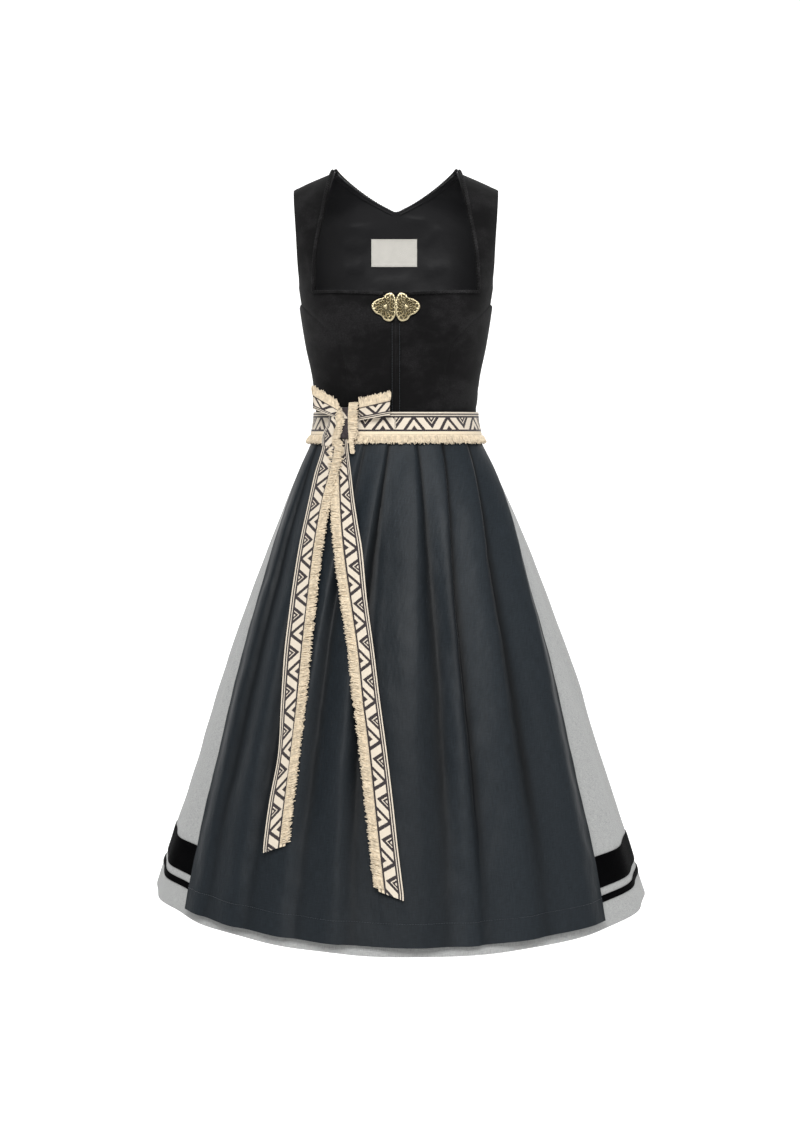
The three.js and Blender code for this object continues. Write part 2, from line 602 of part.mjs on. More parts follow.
// A narrow facing along the V, with a ridge at each of its edges
function neckFacing(side) {
  const depth = LEATHER + SEAM + LINING + FACING.room;
  const panel = backPanel(side);
  const narrow = (w, v) => {
    const width = vector(panel(1, v)).distanceTo(vector(panel(0, v)));
    return panel(w * FACING.width / width, v);
  };
  const inner = (w) => -depth - FACING_RIDGES.find((ridge) => ridge.share === w).thick;
  const rows = shortRows(FACING.short).filter((v) => v >= V_ROW);
  return wall(seamed(narrow), FACING_RIDGES.map((ridge) => ridge.share), rows, {
    outer: -depth, inner, guide: [0, 1, 0],
  });
}

// A strip beside the centre front opening, from the waist to just under the clasp
function placket(side) {
  const strip = (w, v) => {
    const z = lowerZ(v, FRONT_TOP);
    return torsoAt(side * lerp(SEAM / 2, PLACKET.width, w), z);
  };
  const rows = [...steps(0, LOWER_ROWS, LOWER_ROWS).filter((row) => row < PLACKET.end), PLACKET.end];
  return wall(strip, [0, 1], rows, {
    outer: PLACKET.room + PLACKET.thick, inner: PLACKET.room, guide: [0, -1, 0],
  });
}

function label() {
  const depth = LEATHER + SEAM + LINING + LABEL.room;
  const sheet = (x, z) => torsoAt(x, z, true);
  const us = steps(LABEL.x - LABEL.width / 2, LABEL.x + LABEL.width / 2, 6);
  const vs = steps(LABEL.z - LABEL.height / 2, LABEL.z + LABEL.height / 2, 3);
  return wall(sheet, us, vs, { outer: -depth, inner: -depth - LABEL.thick, guide: [0, 1, 0] });
}

// A round cord along points, each with the direction that points away from the cloth
function cord(path, radius, sides) {
  const points = [];
  const triangles = [];
  path.forEach(({ point, normal }, i) => {
    const before = path[Math.max(i - 1, 0)].point;
    const after = path[Math.min(i + 1, path.length - 1)].point;
    const ahead = after.clone().sub(before).normalize();
    const across = normal.clone().cross(ahead).normalize();
    const out = ahead.clone().cross(across).normalize();
    for (let k = 0; k < sides; k += 1) {
      const turn = (k / sides) * 2 * Math.PI;
      const corner = point.clone().addScaledVector(across, radius * Math.cos(turn));
      points.push(corner.addScaledVector(out, radius * Math.sin(turn)));
    }
  });
  const id = (i, k) => i * sides + (k % sides);
  for (let i = 0; i < path.length - 1; i += 1) {
    for (let k = 0; k < sides; k += 1) {
      triangles.push([id(i, k), id(i, k + 1), id(i + 1, k + 1)], [id(i, k), id(i + 1, k + 1), id(i + 1, k)]);
    }
  }
  for (let k = 1; k < sides - 1; k += 1) {
    triangles.push([id(0, 0), id(0, k + 1), id(0, k)]);
    triangles.push([id(path.length - 1, 0), id(path.length - 1, k), id(path.length - 1, k + 1)]);
  }
  return solid(points, triangles);
}

// The piping lies on the panels' outer faces just inside the neck edge
function seat(surface, u, v, guide, uRange, vRange) {
  const normal = normalAt(surface, u, v, uRange, vRange);
  if (normal.dot(vector(guide)) < 0) normal.negate();
  const lift = PIPING.radius + SEAM;
  return { point: vector(surface(u, v)).addScaledVector(normal, lift), normal };
}

function frontPiping(side) {
  const panel = frontPanel(side);
  const strap = steps(NECK_ROW + STRAP_ROWS, NECK_ROW + PIPING.above, 12)
    .map((v) => seat(panel, NECK_SHARE + PIPING.inset, v, [0, -1, 0.2], ...frontRanges(1, v)));
  const below = steps(NECK_SHARE + PIPING.inset / 2, PIPING.end, 5)
    .map((u) => seat(panel, u, NECK_ROW - PIPING.below, [0, -1, 0], ...frontRanges(u, NECK_ROW)));
  return cord([...strap, ...below], PIPING.radius, PIPING.sides);
}

function backPiping() {
  const path = [];
  const ranges = [[0, 1], [0, V_ROW + BACK_V_ROWS]];
  for (const side of [-1, 1]) {
    const panel = backPanel(side);
    const rows = steps(V_ROW + PIPING.point, V_ROW + BACK_V_ROWS, 14).reverse();
    const half = rows.map((v) => seat(panel, PIPING.inset, v, [0, 1, 0.2], ...ranges));
    path.push(...(side < 0 ? half : half.slice(0, -1).reverse()));
  }
  return cord(path, PIPING.radius, PIPING.sides);
}

// Levels of the edges of the velvet bands, from the hem upward
function bandLevels() {
  const flare = (read(SKIRT, 'half', HEM_Z) - read(SKIRT, 'half', HEM_Z + FLARE_HEIGHT)) / FLARE_HEIGHT;
  const edges = [BANDS.hem, BANDS.narrow, BANDS.between, BANDS.wide];
  let along = 0;
  return edges.map((size) => {
    along += size;
    return HEM_Z + along / Math.hypot(1, flare);
  });
}

function skirt() {
  const group = new THREE.Group();
  const [narrowLow, narrowTop, wideLow, wideTop] = bandLevels();
  const levels = [...LEVELS, wideTop, wideLow, narrowTop, narrowLow, HEM_Z];
  for (const { name, from, to } of SKIRT_PANELS) {
    const columns = steps(from, to, (to - from) * FOLD_COLUMNS);
    const panel = wall(seamed(skirtSurface, from, to), columns, levels, { outer: 0, inner: -SKIRT_CLOTH });
    group.add(mesh(`skirt_${name}`, panel, COLOUR.skirt, 0.9));
  }
  const folds = SKIRT_FOLDS.length - 1;
  const around = steps(0, folds, folds * FOLD_COLUMNS).slice(0, -1);
  const band = { outer: SEAM + VELVET, inner: SEAM, closed: true, ...backGuide };
  group.add(
    mesh('velvet_band_wide', wall(skirtRing, around, [wideTop, wideLow], band), COLOUR.velvet, 1),
    mesh('velvet_band_narrow', wall(skirtRing, around, [narrowTop, narrowLow], band), COLOUR.velvet, 1),
  );
  return group;
}

// The skirt's surface read round and round, past its first and last fold
function skirtRing(u, z) {
  const folds = SKIRT_FOLDS.length - 1;
  return skirtSurface(((u % folds) + folds) % folds, z);
}

// A closed ring is looked at from the back, where its middle column lies
const backGuide = { guide: [0, 1, 0] };

function apron() {
  const us = PLEATS.slice(1).flatMap((_, pleat) => PLEAT_COLUMNS.map((share) => pleat + share));
  us.push(PLEATS.length - 1);
  const surface = (u, z) => {
    const pleat = clamp(Math.floor(u), 0, PLEATS.length - 2);
    const { angle, radius } = apronRadius(pleat, u - pleat, z);
    return [radius * Math.sin(angle), -radius * Math.cos(angle), tilted(z, angle)];
  };
  const cloth = wall(surface, us, APRON_LEVELS, { outer: APRON_CLOTH, inner: 0, guide: [0, -1, 0] });
  return mesh('apron', cloth, COLOUR.taffeta, 0.4);
}

// A fringe: a root strip with separate flat locks, along u of a surface, v 0 at its roots
function fringe(surface, count, options) {
  const closed = options.closed ?? false;
  const narrowing = LOCK.taper * LOCK.width / count;
  const us = [];
  for (let k = 0; k < count; k += 1) us.push(k / count, (k + LOCK.width) / count);
  if (!closed) us.push(1);
  const rows = [0, STRIP, 1];
  const shape = (i, j) => {
    const tip = j === 2 && i < count * 2 ? narrowing * (i % 2 === 0 ? 1 : -1) : 0;
    return [us[i] + tip, rows[j]];
  };
  return wall(surface, us, rows, { ...options, closed, shape, filled: (i, j) => j === 0 || i % 2 === 0 });
}

function belt() {
  const group = new THREE.Group();
  const around = steps(0, 2 * Math.PI, BELT_COLUMNS).slice(0, -1);
  const surface = (angle, z) => {
    const out = beltRadius(wrap(angle), z);
    return [out * Math.sin(angle), -out * Math.cos(angle), z];
  };
  const ribbon = { outer: RIBBON, inner: 0, closed: true, ...backGuide };
  const ring = (u, v) => surface(u * 2 * Math.PI, lerp(BELT_LOW - SEAM, FRINGE_LOW, v));
  const locks = Math.round(2 * Math.PI * read(SKIRT, 'half', BELT_LOW) / LOCK.pitch);
  group.add(
    mesh('belt_ribbon', wall(surface, around, [BELT_TOP, WAIST_Z, BELT_LOW], ribbon), COLOUR.ribbon),
    mesh('belt_fringe', fringe(ring, locks, ribbon), COLOUR.fringe),
  );
  return group;
}

// The knot is a rounded lump over the belt
function knot() {
  const surface = (x, z) => onRadius(beltRadius, x, z);
  const us = steps(KNOT.left, KNOT.right, 6);
  const vs = steps(KNOT.low, KNOT.top, 6);
  const arch = (share) => Math.sin(Math.PI * clamp(share, 0, 1)) ** KNOT.round;
  const outer = (x, z) => {
    const across = arch((x - KNOT.left) / (KNOT.right - KNOT.left));
    return RIBBON + KNOT.edge + KNOT.rise * across * arch((z - KNOT.low) / (KNOT.top - KNOT.low));
  };
  const lump = wall(surface, us, vs, { outer, inner: RIBBON + SEAM, guide: [0, -1, 0] });
  return mesh('bow_knot', lump, COLOUR.ribbon);
}

// A tail: u 0 at its striped edge and 1 at the fringe tips, v 0 at the knot and 1 at its end
function tailSurface(table) {
  const end = table[table.length - 1].z;
  return (u, v) => {
    const z = lerp(table[0].z, end - CUT_SLANT * (0.5 - u), v);
    const x = lerp(read(table, 'stripe', z), read(table, 'fringe', z), u);
    return onRadius((angle, at) => skirtRadius(angle, at) + read(table, 'lift', at), x, z);
  };
}

function tails() {
  const group = new THREE.Group();
  for (const [name, table] of [['right', TAIL_LEFT], ['left', TAIL_RIGHT]]) {
    const surface = tailSurface(table);
    const cloth = { outer: RIBBON, inner: 0, guide: [0, -1, 0] };
    const rows = steps(0, 1, TAIL_ROWS.count).map((share) => share ** TAIL_ROWS.crowd);
    const ribbon = wall(surface, steps(0, RIBBON_SHARE, 2), rows, cloth);
    const locks = Math.round((table[0].z - table[table.length - 1].z) / LOCK.pitch);
    const edge = (u, v) => surface(lerp(FRINGE_SHARE, 1, v), u);
    group.add(
      mesh(`bow_tail_${name}`, ribbon, COLOUR.ribbon),
      mesh(`bow_tail_fringe_${name}`, fringe(edge, locks, cloth), COLOUR.fringe),
    );
  }
  return group;
}

// A loop: the ribbon leaves the knot in front, folds at the tip and comes back behind
function loopSurface(loop) {
  return (u, v) => {
    const out = Math.sin(Math.PI * u);
    const x = lerp(loop.knot, loop.fold, out);
    const y = lerp(loop.yKnot, loop.yFold, out) - loop.open * Math.sin(2 * Math.PI * u);
    const z = lerp(loop.low + loop.tiltLow * out, loop.high + loop.tiltHigh * out, v);
    return [x, y, z];
  };
}

function loops() {
  const group = new THREE.Group();
  for (const [name, loop] of [['right', LOOPS.left], ['left', LOOPS.right]]) {
    const surface = loopSurface(loop);
    const turn = steps(LOOP_ENDS.start, LOOP_ENDS.end, LOOP_ENDS.steps);
    const above = (u, v) => {
      const [x, y, z] = surface(lerp(LOOP_ENDS.start, LOOP_ENDS.fold, u), 1);
      return [x, y, z + SEAM + v * LOOP_FRINGE];
    };
    const cloth = { outer: RIBBON / 2, inner: -RIBBON / 2 };
    const locks = Math.round(Math.abs(loop.fold - loop.knot) / LOCK.loopPitch);
    const outward = { ...cloth, guide: [loop.fold - loop.knot, 0, 0] };
    const forward = { ...cloth, guide: [0, -1, 0] };
    group.add(
      mesh(`bow_loop_${name}`, wall(surface, turn, [0, 0.5, 1], outward), COLOUR.ribbon),
      mesh(`bow_loop_fringe_${name}`, fringe(above, locks, forward), COLOUR.fringe),
    );
  }
  return group;
}

// One half of the clasp: lobes about a centre, with a raised rim and a domed middle
function claspHalf(side) {
  const around = steps(-Math.PI, Math.PI, CLASP.columns).slice(0, -1);
  const surface = (turn, share) => {
    const angle = turn / RAD;
    const wrapped = ((angle + 180) % 360 + 360) % 360 - 180;
    const out = read(CLASP_OUTLINE, 'reach', wrapped, 'angle') * share;
    const x = Math.max(CLASP.centreX + out * Math.cos(turn), CLASP.gap / 2);
    return torsoAt(side * x, CLASP.z + out * Math.sin(turn));
  };
  const outer = (turn, share) => CLASP.base + read(CLASP_RELIEF, 'height', share, 'share');
  const shares = CLASP_RELIEF.map((row) => Math.max(row.share, 1e-5));
  return wall(surface, around, shares, { outer, inner: 2 * SEAM, closed: true, guide: [0, -1, 0] });
}

function clasp() {
  const group = new THREE.Group();
  for (const [side, name] of SIDE_NAMES) {
    group.add(mesh(`clasp_${name}`, claspHalf(side), COLOUR.metal, 0.35, 0.9));
  }
  return group;
}

const dirndl = new THREE.Group();
dirndl.add(bodice(), skirt(), apron(), belt(), knot(), tails(), loops(), clasp());

export default dirndl;
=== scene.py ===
"""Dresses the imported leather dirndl: suede bodice, flared skirt, pleated apron, woven belt and clasp."""

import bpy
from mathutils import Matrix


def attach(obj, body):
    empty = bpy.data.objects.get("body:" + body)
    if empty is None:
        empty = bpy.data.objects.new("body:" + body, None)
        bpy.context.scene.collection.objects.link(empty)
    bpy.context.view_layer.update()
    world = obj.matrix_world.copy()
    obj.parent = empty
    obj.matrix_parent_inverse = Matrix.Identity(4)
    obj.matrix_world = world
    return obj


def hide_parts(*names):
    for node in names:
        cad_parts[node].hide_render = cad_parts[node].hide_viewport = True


bl_info = {
    "name": "Leather dirndl",
    "version": (1, 0, 0),
    "blender": (4, 5, 0),
    "location": "3D View > Sidebar > Dirndl",
    "description": "Makes the cloth, leather, fringes and clasp of a leather dirndl on its packed frame",
    "category": "Object",
}

from math import pi, radians

import bpy
import numpy as np
from bpy.props import FloatProperty, FloatVectorProperty, IntProperty, PointerProperty
from bpy.types import Operator, Panel, PropertyGroup
from mathutils import Vector

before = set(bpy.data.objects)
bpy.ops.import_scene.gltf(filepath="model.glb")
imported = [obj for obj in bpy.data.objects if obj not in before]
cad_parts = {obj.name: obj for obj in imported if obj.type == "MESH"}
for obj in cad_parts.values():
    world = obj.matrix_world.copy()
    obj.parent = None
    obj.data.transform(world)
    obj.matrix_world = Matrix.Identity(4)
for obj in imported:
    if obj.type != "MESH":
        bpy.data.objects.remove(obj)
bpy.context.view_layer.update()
MM = 0.001

# Sizes in millimetres, the same as the solids have
WAIST_Z = -361.0
HEM_Z = -1081.0
HEM_TILT = 6.5
SIDE_RISE = 26.0
SWAY = 0.02
SWAY_HEIGHT = 140.0
SHOULDER_Y = 8.0
NECK_X = 88.5
NECK_Z = 15.0
TIP_X = 154.5
SHOULDER_SLOPE = 0.43
TIP_Z = NECK_Z - (TIP_X - NECK_X) * SHOULDER_SLOPE
ROLL_FRONT = 55.0
ROLL_BACK = 70.0
SEAM = 0.3
LEATHER = 1.5
LINING = 1.0
SKIRT_CLOTH = 1.5
APRON_CLOTH = 1.2
RIBBON = 1.5
VELVET = 1.2
TORSO_POWER = 2.5
BUST_ANGLE = 36.0
BUST_Z = -208.0
BUST_RISE = 9.0
BUST_SPREAD_ANGLE = 14.0
BUST_SPREAD_Z = 42.0


class Rows:
    """Columns of sizes against one key, each read by a smooth curve that never overshoots its rows."""

    def __init__(self, names, rows):
        data = np.array(sorted(rows), float)
        self.key = data[:, 0]
        self.columns = dict(zip(names.split(), data[:, 1:].T))

    def read(self, name, at):
        """Reads a column at any key."""
        key = self.key
        values = self.columns[name]
        at = np.clip(at, key[0], key[-1])
        i = np.clip(np.searchsorted(key, at, side="right") - 1, 0, len(key) - 2)
        slopes = np.diff(values) / np.diff(key)
        product = slopes[:-1] * slopes[1:]
        total = np.where(product > 0, slopes[:-1] + slopes[1:], 1)
        inner = np.where(product > 0, 2 * product / total, 0)
        tangents = np.concatenate([slopes[:1], inner, slopes[-1:]])
        span = key[i + 1] - key[i]
        t = (at - key[i]) / span
        t2 = t * t
        t3 = t2 * t
        low = (2 * t3 - 3 * t2 + 1) * values[i] + (t3 - 2 * t2 + t) * span * tangents[i]
        high = (3 * t2 - 2 * t3) * values[i + 1] + (t3 - t2) * span * tangents[i + 1]
        return low + high


TORSO = Rows("half front back", [
    (-385, 122, 95, 90), (-361, 119, 91, 87), (-340, 121, 94, 88), (-300, 125, 99, 88),
    (-250, 135, 112, 92), (-200, 143, 121, 98), (-150, 150, 118, 103), (-100, 160, 104, 103),
    (-60, 164, 90, 100), (-20, 167, 80, 95), (20, 170, 70, 88),
])
SKIRT = Rows("half front back power fold", [
    (-361, 119, 91, 87, 2.5, 0.8), (-380, 121, 95, 91, 2.5, 2), (-400, 130, 103, 99, 2.45, 3),
    (-430, 145, 116, 112, 2.4, 4.5), (-502, 177, 145, 140, 2.3, 7), (-574, 206, 170, 164, 2.25, 8.5),
    (-718, 258, 221, 214, 2.2, 9.5), (-898, 313, 277, 268, 2.15, 10), (-1081, 368, 336, 326, 2.15, 9),
])
# Ridges of the skirt's folds in degrees from the front, and the depth of the valley after each
SKIRT_RIDGES = np.array([-50, -28, -6, 20, 45, 68, 90, 112, 138, 159, 182, 202, 225, 245, 268, 288, 310.0])
SKIRT_DEPTHS = np.array([0.6, 0.5, 0.5, 0.5, 0.6, 0.8, 0.7, 1, 0.8, 1, 0.9, 1, 0.7, 1, 0.6, 0.9])
SKIRT_PANELS = {"front": 0, "left": 4, "back": 8, "right": 12}
# Share of the folds' depth that shows at the front and at the back
FOLD_FRONT = 0.75
FOLD_BACK = 1.0
BAND_HEM = 36.0
BAND_NARROW = 9.5
BAND_BETWEEN = 11.0
BAND_WIDE = 45.0
APRON = Rows("span room pleat", [
    (-361, 80, 0.6, 0.8), (-380, 79, 0.6, 1.8), (-400, 77.5, 0.8, 3.2), (-450, 73, 2, 7),
    (-520, 69, 2.5, 10.5), (-628, 64.7, 2.6, 12.5), (-780, 61.2, 2.6, 13), (-930, 59, 2.6, 11.5),
    (-1068, 55.5, 2.6, 9),
])
APRON_HEM = 13.0
# Pleat lines of the apron as shares of its half span at the waist, half way and at the hem
PLEAT_TOP = np.array([-1, -0.8, -0.55, -0.29, -0.04, 0.22, 0.48, 0.73, 1])
PLEAT_MID = np.array([-1, -0.84, -0.62, -0.4, -0.19, 0.25, 0.4, 0.68, 1])
PLEAT_LOW = np.array([-1, -0.86, -0.64, -0.42, -0.18, 0.23, 0.4, 0.68, 1])
PLEAT_FADE = 0.4
# How much narrower the apron's left half hangs below the belt
LEFT_TRIM = 0.055
# How strong the painted shade is in the groove beside each pleat
PLEAT_GROOVE_SHADE = np.array([0.6, 0.75, 0.7, 1, 0.85, 1, 0.9, 0.4])
# How light each pleat is painted: painted light and shade for the way each pleat faces the lamps
PLEAT_PAINTED_LIGHT = np.array([1.05, 1.0, 0.95, 0.85, 0.72, 0.95, 1.0, 1.0])
PLEAT_HEIGHT = np.array([0.55, 0.9, 0.85, 1, 0.95, 1, 0.9, 0.75])
RIDGE_TOP = 0.86
RIDGE_LOW = 0.66
NECK_FRONT = Rows("x", [(-170, 118), (-116, 115), (-59, 105), (-25, 98), (15, NECK_X)])
ARMHOLE = Rows("x", [(-196, 139), (-188, 141), (-140, 146), (-90, 149), (-50, 152), (TIP_Z, TIP_X)])
PRINCESS_FRONT = Rows("x", [
    (-361, 66), (-345, 67), (-295, 72), (-248, 83), (-224, 104), (-202, 128), (-188, 141),
])
PRINCESS_BACK = Rows("x", [(-361, 58), (-310, 64), (-260, 82), (-215, 112), (-186, 139)])
SIDE_TOP = -196.0
FRONT_TOP = -188.0
BACK_TOP = -186.0
NECK_MIDDLE_Z = -175.0
NECK_CORNER_Z = -169.0
NECK_ARM_Z = -163.0
NECK_CORNER_X = 118.0
NECK_ARM_X = 145.0
NECK_SHARE = NECK_CORNER_X / NECK_ARM_X
BACK_POINT = -38.5
BACK_SAG = 3.0
BACK_ARM_Z = -95.0
LOWER_ROWS = 8
NECK_ROW = 9
STRAP_ROWS = 8
BACK_MIDDLE_ROWS = 3
BACK_V_ROWS = 6
V_ROW = LOWER_ROWS + BACK_MIDDLE_ROWS
BELT = Rows("room", [(-394, 6.4), (-380, 5.8), (-361, 4.2), (-347, 1.9)])
BELT_TOP = -347.0
BELT_LOW = -380.0
FRINGE_LOW = -393.5
PIPING_RADIUS = 2.3
TAILS = {
    "right": Rows("stripe fringe lift", [
        (-386.6, -105, -78.5, 12), (-402, -108, -78, 12), (-438, -119.5, -84, 13), (-474, -128, -94.5, 14),
        (-545, -142, -106, 16.4), (-615, -153, -112, 17.8), (-685, -160, -119, 18),
        (-753, -163, -126, 18), (-821, -166.5, -136, 18), (-888, -178, -142, 17.8),
        (-947, -185, -148, 17.4),
    ]),
    "left": Rows("stripe fringe lift", [
        (-386.6, -71, -95, 8.6), (-402, -69.5, -95, 8.6), (-438, -65, -94, 10.2),
        (-473, -60.5, -94, 12.2), (-508, -54.5, -93.5, 14.8), (-543, -48, -91, 16.4),
        (-612, -40.8, -78.7, 17.8), (-680, -30.7, -67, 18), (-746, -22, -60, 18),
        (-813, -12.4, -51, 18), (-878, -4, -43.7, 17.2), (-942, 3.4, -36, 16.2), (-1000, 11, -29, 15.4),
    ]),
}
RIBBON_SHARE = 0.73
FRINGE_SHARE = 0.645
CUT_SLANT = 14.0
# The pattern's stretch along a hanging end, and where its repeat begins
PATTERN_STRETCH = 0.92
PATTERN_START = {"right": 7.5, "left": 18.8}
# The strip that crosses the knot from the right loop into the right end: its striped edge,
# the line where its fringe begins and the fringe's tips, and how far it stands out
WRAP = Rows("edge_x edge_z root_x root_z tip_x tip_z out", [
    (0, -97, -354.5, -88.5, -345.5, -80, -337, 12),
    (0.2, -97.4, -360.2, -87, -356, -74.5, -352, 15),
    (0.4, -99.5, -367.5, -84.9, -364.5, -71.2, -362, 16),
    (0.6, -103.9, -374.7, -88.5, -374, -74.4, -372.5, 14),
    (0.8, -107.1, -384.9, -91.5, -385.6, -79.2, -383.4, 10.5),
    (1, -108.2, -396, -91.4, -397, -79.9, -396, 8),
])
# The fringe that falls over the knot from its other strip: roots, tips, and how far it stands out
FALL = Rows("root_x tip_x out", [
    (-332, -68, -55, 12), (-350, -69.5, -53.5, 15), (-369, -69.5, -54, 16), (-384, -68.5, -59, 13),
    (-396, -67.5, -62, 9.5), (-408, -66, -63.5, 8.5),
])
# Bow loops: x at the knot and fold, y at both, depth, lower and upper edge, rise to the fold
LOOPS = {
    "right": (-79.0, -121.0, -94.0, -76.0, 7.0, -358.5, -345.5, 16.5, 26.0),
    "left": (-58.0, -9.0, -95.3, -104.9, 6.0, -360.0, -339.0, 9.0, 11.5),
}
SIDES = {"left": 1, "right": -1}
FRONT = (0, -1, 0)
BACK = (0, 1, 0)
RIBBON_WIDTH = 33.0
FACING_WIDTH = 9.0
PLACKET_WIDTH = 6.4
PLACKET_LIFT = 0.5
# How far the knot's ribbon rolls back at its edges
WRAP_ROLL = 4.0
# Ends of the light scrap that shows in the knot's hollow, whose shade is painted with the ribbon's dark line
SCRAP = (-77.0, -343.0, -68.0, -357.0)
# The camera: its place in metres, and its focal length and shift in pixels of the 800 by 1132 frame
CAMERA_PLACE = (0.006, -3.2, -0.366)
FRAME_HEIGHT = 1132
FOCAL_PIXELS = 2133
SHIFT_PIXELS = -141
SENSOR = 36


def lerp(a, b, share):
    """Goes from a to b by a share."""
    return a + (b - a) * share


def smooth(low, high, value):
    """A soft step from 0 at low to 1 at high."""
    t = np.clip((value - low) / (high - low), 0, 1)
    return t * t * (3 - 2 * t)


def unit(vectors):
    """The same directions at a length of one."""
    return vectors / np.linalg.norm(vectors, axis=-1, keepdims=True)


def turned(normal, guide):
    """Normals turned to the side that a guide points to."""
    return normal * np.where(normal @ np.array(guide, float) < 0, -1, 1)[:, None]


def reach(angle, half, front, back, power):
    """Reach of a rounded section; the angle is 0 at the front and grows to the wearer's left."""
    across = np.abs(np.sin(angle)) / half
    along = np.abs(np.cos(angle)) / np.where(np.cos(angle) > 0, front, back)
    return (across ** power + along ** power) ** (-1 / power)


def angle_at(radius, x, z, back=False):
    """Angle at which a surface reaches x, on its front or its back half."""
    x, z = np.broadcast_arrays(np.asarray(x, float), np.asarray(z, float))
    low = np.zeros(x.shape)
    high = np.full(x.shape, pi / 2)
    for _ in range(30):
        middle = (low + high) / 2
        turn = pi - middle if back else middle
        short = radius(turn, z) * np.sin(middle) < np.abs(x)
        low = np.where(short, middle, low)
        high = np.where(short, high, middle)
    angle = pi - low if back else low
    return np.where(x < 0, -angle, angle)


def polar(radius, angle, z):
    """Point at a radius and an angle round the dress."""
    return np.stack([radius * np.sin(angle), -radius * np.cos(angle), z + 0 * angle], axis=-1)


def torso_radius(angle, z):
    """Reach of the bodice, with the bust."""
    body = reach(angle, TORSO.read("half", z), TORSO.read("front", z), TORSO.read("back", z), TORSO_POWER)
    turn = np.degrees(angle)
    hump = np.exp(-(((turn - BUST_ANGLE) / BUST_SPREAD_ANGLE) ** 2) / 2)
    hump += np.exp(-(((turn + BUST_ANGLE) / BUST_SPREAD_ANGLE) ** 2) / 2)
    return body + BUST_RISE * hump * np.exp(-(((z - BUST_Z) / BUST_SPREAD_Z) ** 2) / 2)


def torso_point(angle, z):
    """Outer face of the bodice, which rolls over the shoulder at the top."""
    radius = torso_radius(angle, z)
    x = radius * np.sin(angle)
    y = -radius * np.cos(angle)
    roll = np.where(y < 0, ROLL_FRONT, ROLL_BACK)
    start = NECK_Z - (np.abs(x) - NECK_X) * SHOULDER_SLOPE - roll
    climb = np.clip((z - start) / roll, 0, 1)
    seam_y = SHOULDER_Y + np.where(y < 0, -SEAM, SEAM) / 2
    y = seam_y + (y - seam_y) * np.sqrt(1 - climb * climb)
    return np.stack([x, y, z + 0 * x], axis=-1)


def torso_at(x, z, back=False):
    """Outer face of the bodice at x and z."""
    x, z = np.broadcast_arrays(np.asarray(x, float), np.asarray(z, float))
    return torso_point(angle_at(torso_radius, x, z, back), z)


def skirt_radius(angle, z):
    """Reach of the skirt without its folds; it swings out more at the wearer's left."""
    even = reach(angle, *(SKIRT.read(name, z) for name in ("half", "front", "back", "power")))
    return even * (1 + SWAY * np.clip((WAIST_Z - z) / SWAY_HEIGHT, 0, 1) * np.sin(angle))


def tilted(z, angle):
    """A level hangs a little lower at the wearer's left and higher at both sides."""
    depth = np.clip((WAIST_Z - z) / (WAIST_Z - HEM_Z), 0, 1)
    turn = np.sin(angle)
    return z - HEM_TILT * depth * turn + SIDE_RISE * depth ** 3 * turn * turn


def skirt_surface(u, z):
    """The skirt; u counts its folds and goes round and round."""
    folds = len(SKIRT_DEPTHS)
    u = np.asarray(u, float)
    turns = np.floor(u / folds)
    u = u - turns * folds
    fold = np.clip(np.floor(u).astype(int), 0, folds - 1)
    share = u - fold
    angle = np.radians(lerp(SKIRT_RIDGES[fold], SKIRT_RIDGES[fold + 1], share))
    softness = lerp(FOLD_BACK, FOLD_FRONT, smooth(-0.4, 0.2, np.cos(angle)))
    depth = SKIRT.read("fold", z) * SKIRT_DEPTHS[fold] * softness
    out = skirt_radius(angle, z) - depth * np.sin(pi * share) ** 2
    return polar(out, angle, tilted(z, angle))


def pleat_angle(line, z):
    """Angle of an apron pleat line at a height."""
    middle = (WAIST_Z + HEM_Z) / 2
    upper = np.clip((WAIST_Z - z) / (WAIST_Z - middle), 0, 1)
    lower = np.clip((middle - z) / (middle - HEM_Z), 0, 1)
    ease = upper * (2 - upper)
    share = lerp(PLEAT_TOP[line], PLEAT_MID[line], ease)
    share = share + (PLEAT_LOW[line] - PLEAT_MID[line]) * lower
    share = np.where(share > 0, share * (1 - LEFT_TRIM * smooth(-400, -560, z)), share)
    return np.radians(share * APRON.read("span", z))


def apron_surface(u, z):
    """The apron; u counts its pleats, each of which rises to a ridge and drops at its line."""
    u = np.asarray(u, float)
    pleat = np.clip(np.floor(u).astype(int), 0, len(PLEAT_HEIGHT) - 1)
    share = u - pleat
    angle = lerp(pleat_angle(pleat, z), pleat_angle(pleat + 1, z), share)
    depth = np.clip((WAIST_Z - z) / (WAIST_Z - HEM_Z), 0, 1)
    ridge = lerp(RIDGE_TOP, RIDGE_LOW, np.clip(depth * 1.6, 0, 1))
    rise = np.where(share < ridge, share / ridge, (1 - share) / (1 - ridge))
    height = PLEAT_HEIGHT[pleat] * APRON.read("pleat", z) * np.sin(pi / 2 * np.clip(rise, 0, 1)) ** 2
    height = height * (1 - PLEAT_FADE * smooth(-850, -1060, z))
    return polar(skirt_radius(angle, z) + APRON.read("room", z) + height, angle, tilted(z, angle))


def belt_radius(angle, z):
    """Reach of the belt's inner face."""
    return np.where(z > WAIST_Z, torso_radius(angle, z), skirt_radius(angle, z)) + BELT.read("room", z)


def on_radius(radius, x, z):
    """Point of a front surface at x and z."""
    x, z = np.broadcast_arrays(np.asarray(x, float), np.asarray(z, float))
    angle = angle_at(radius, x, z)
    return polar(radius(angle, z), angle, z)


def seamed(surface, start=0.0, end=1.0):
    """Narrows a panel to keep half a seam's gap at both of its long edges."""

    def narrow(u, v):
        width = np.linalg.norm(surface(u * 0 + end, v) - surface(u * 0 + start, v), axis=-1)
        inset = SEAM / 2 / np.maximum(width, 1)
        share = (u - start) / (end - start)
        return surface(lerp(lerp(start, end, inset), lerp(end, start, inset), share), v)

    return narrow


def lower_z(v, top):
    """Height of row v of the panels' lower part."""
    return lerp(WAIST_Z, top, np.clip(v / LOWER_ROWS, 0, 1))


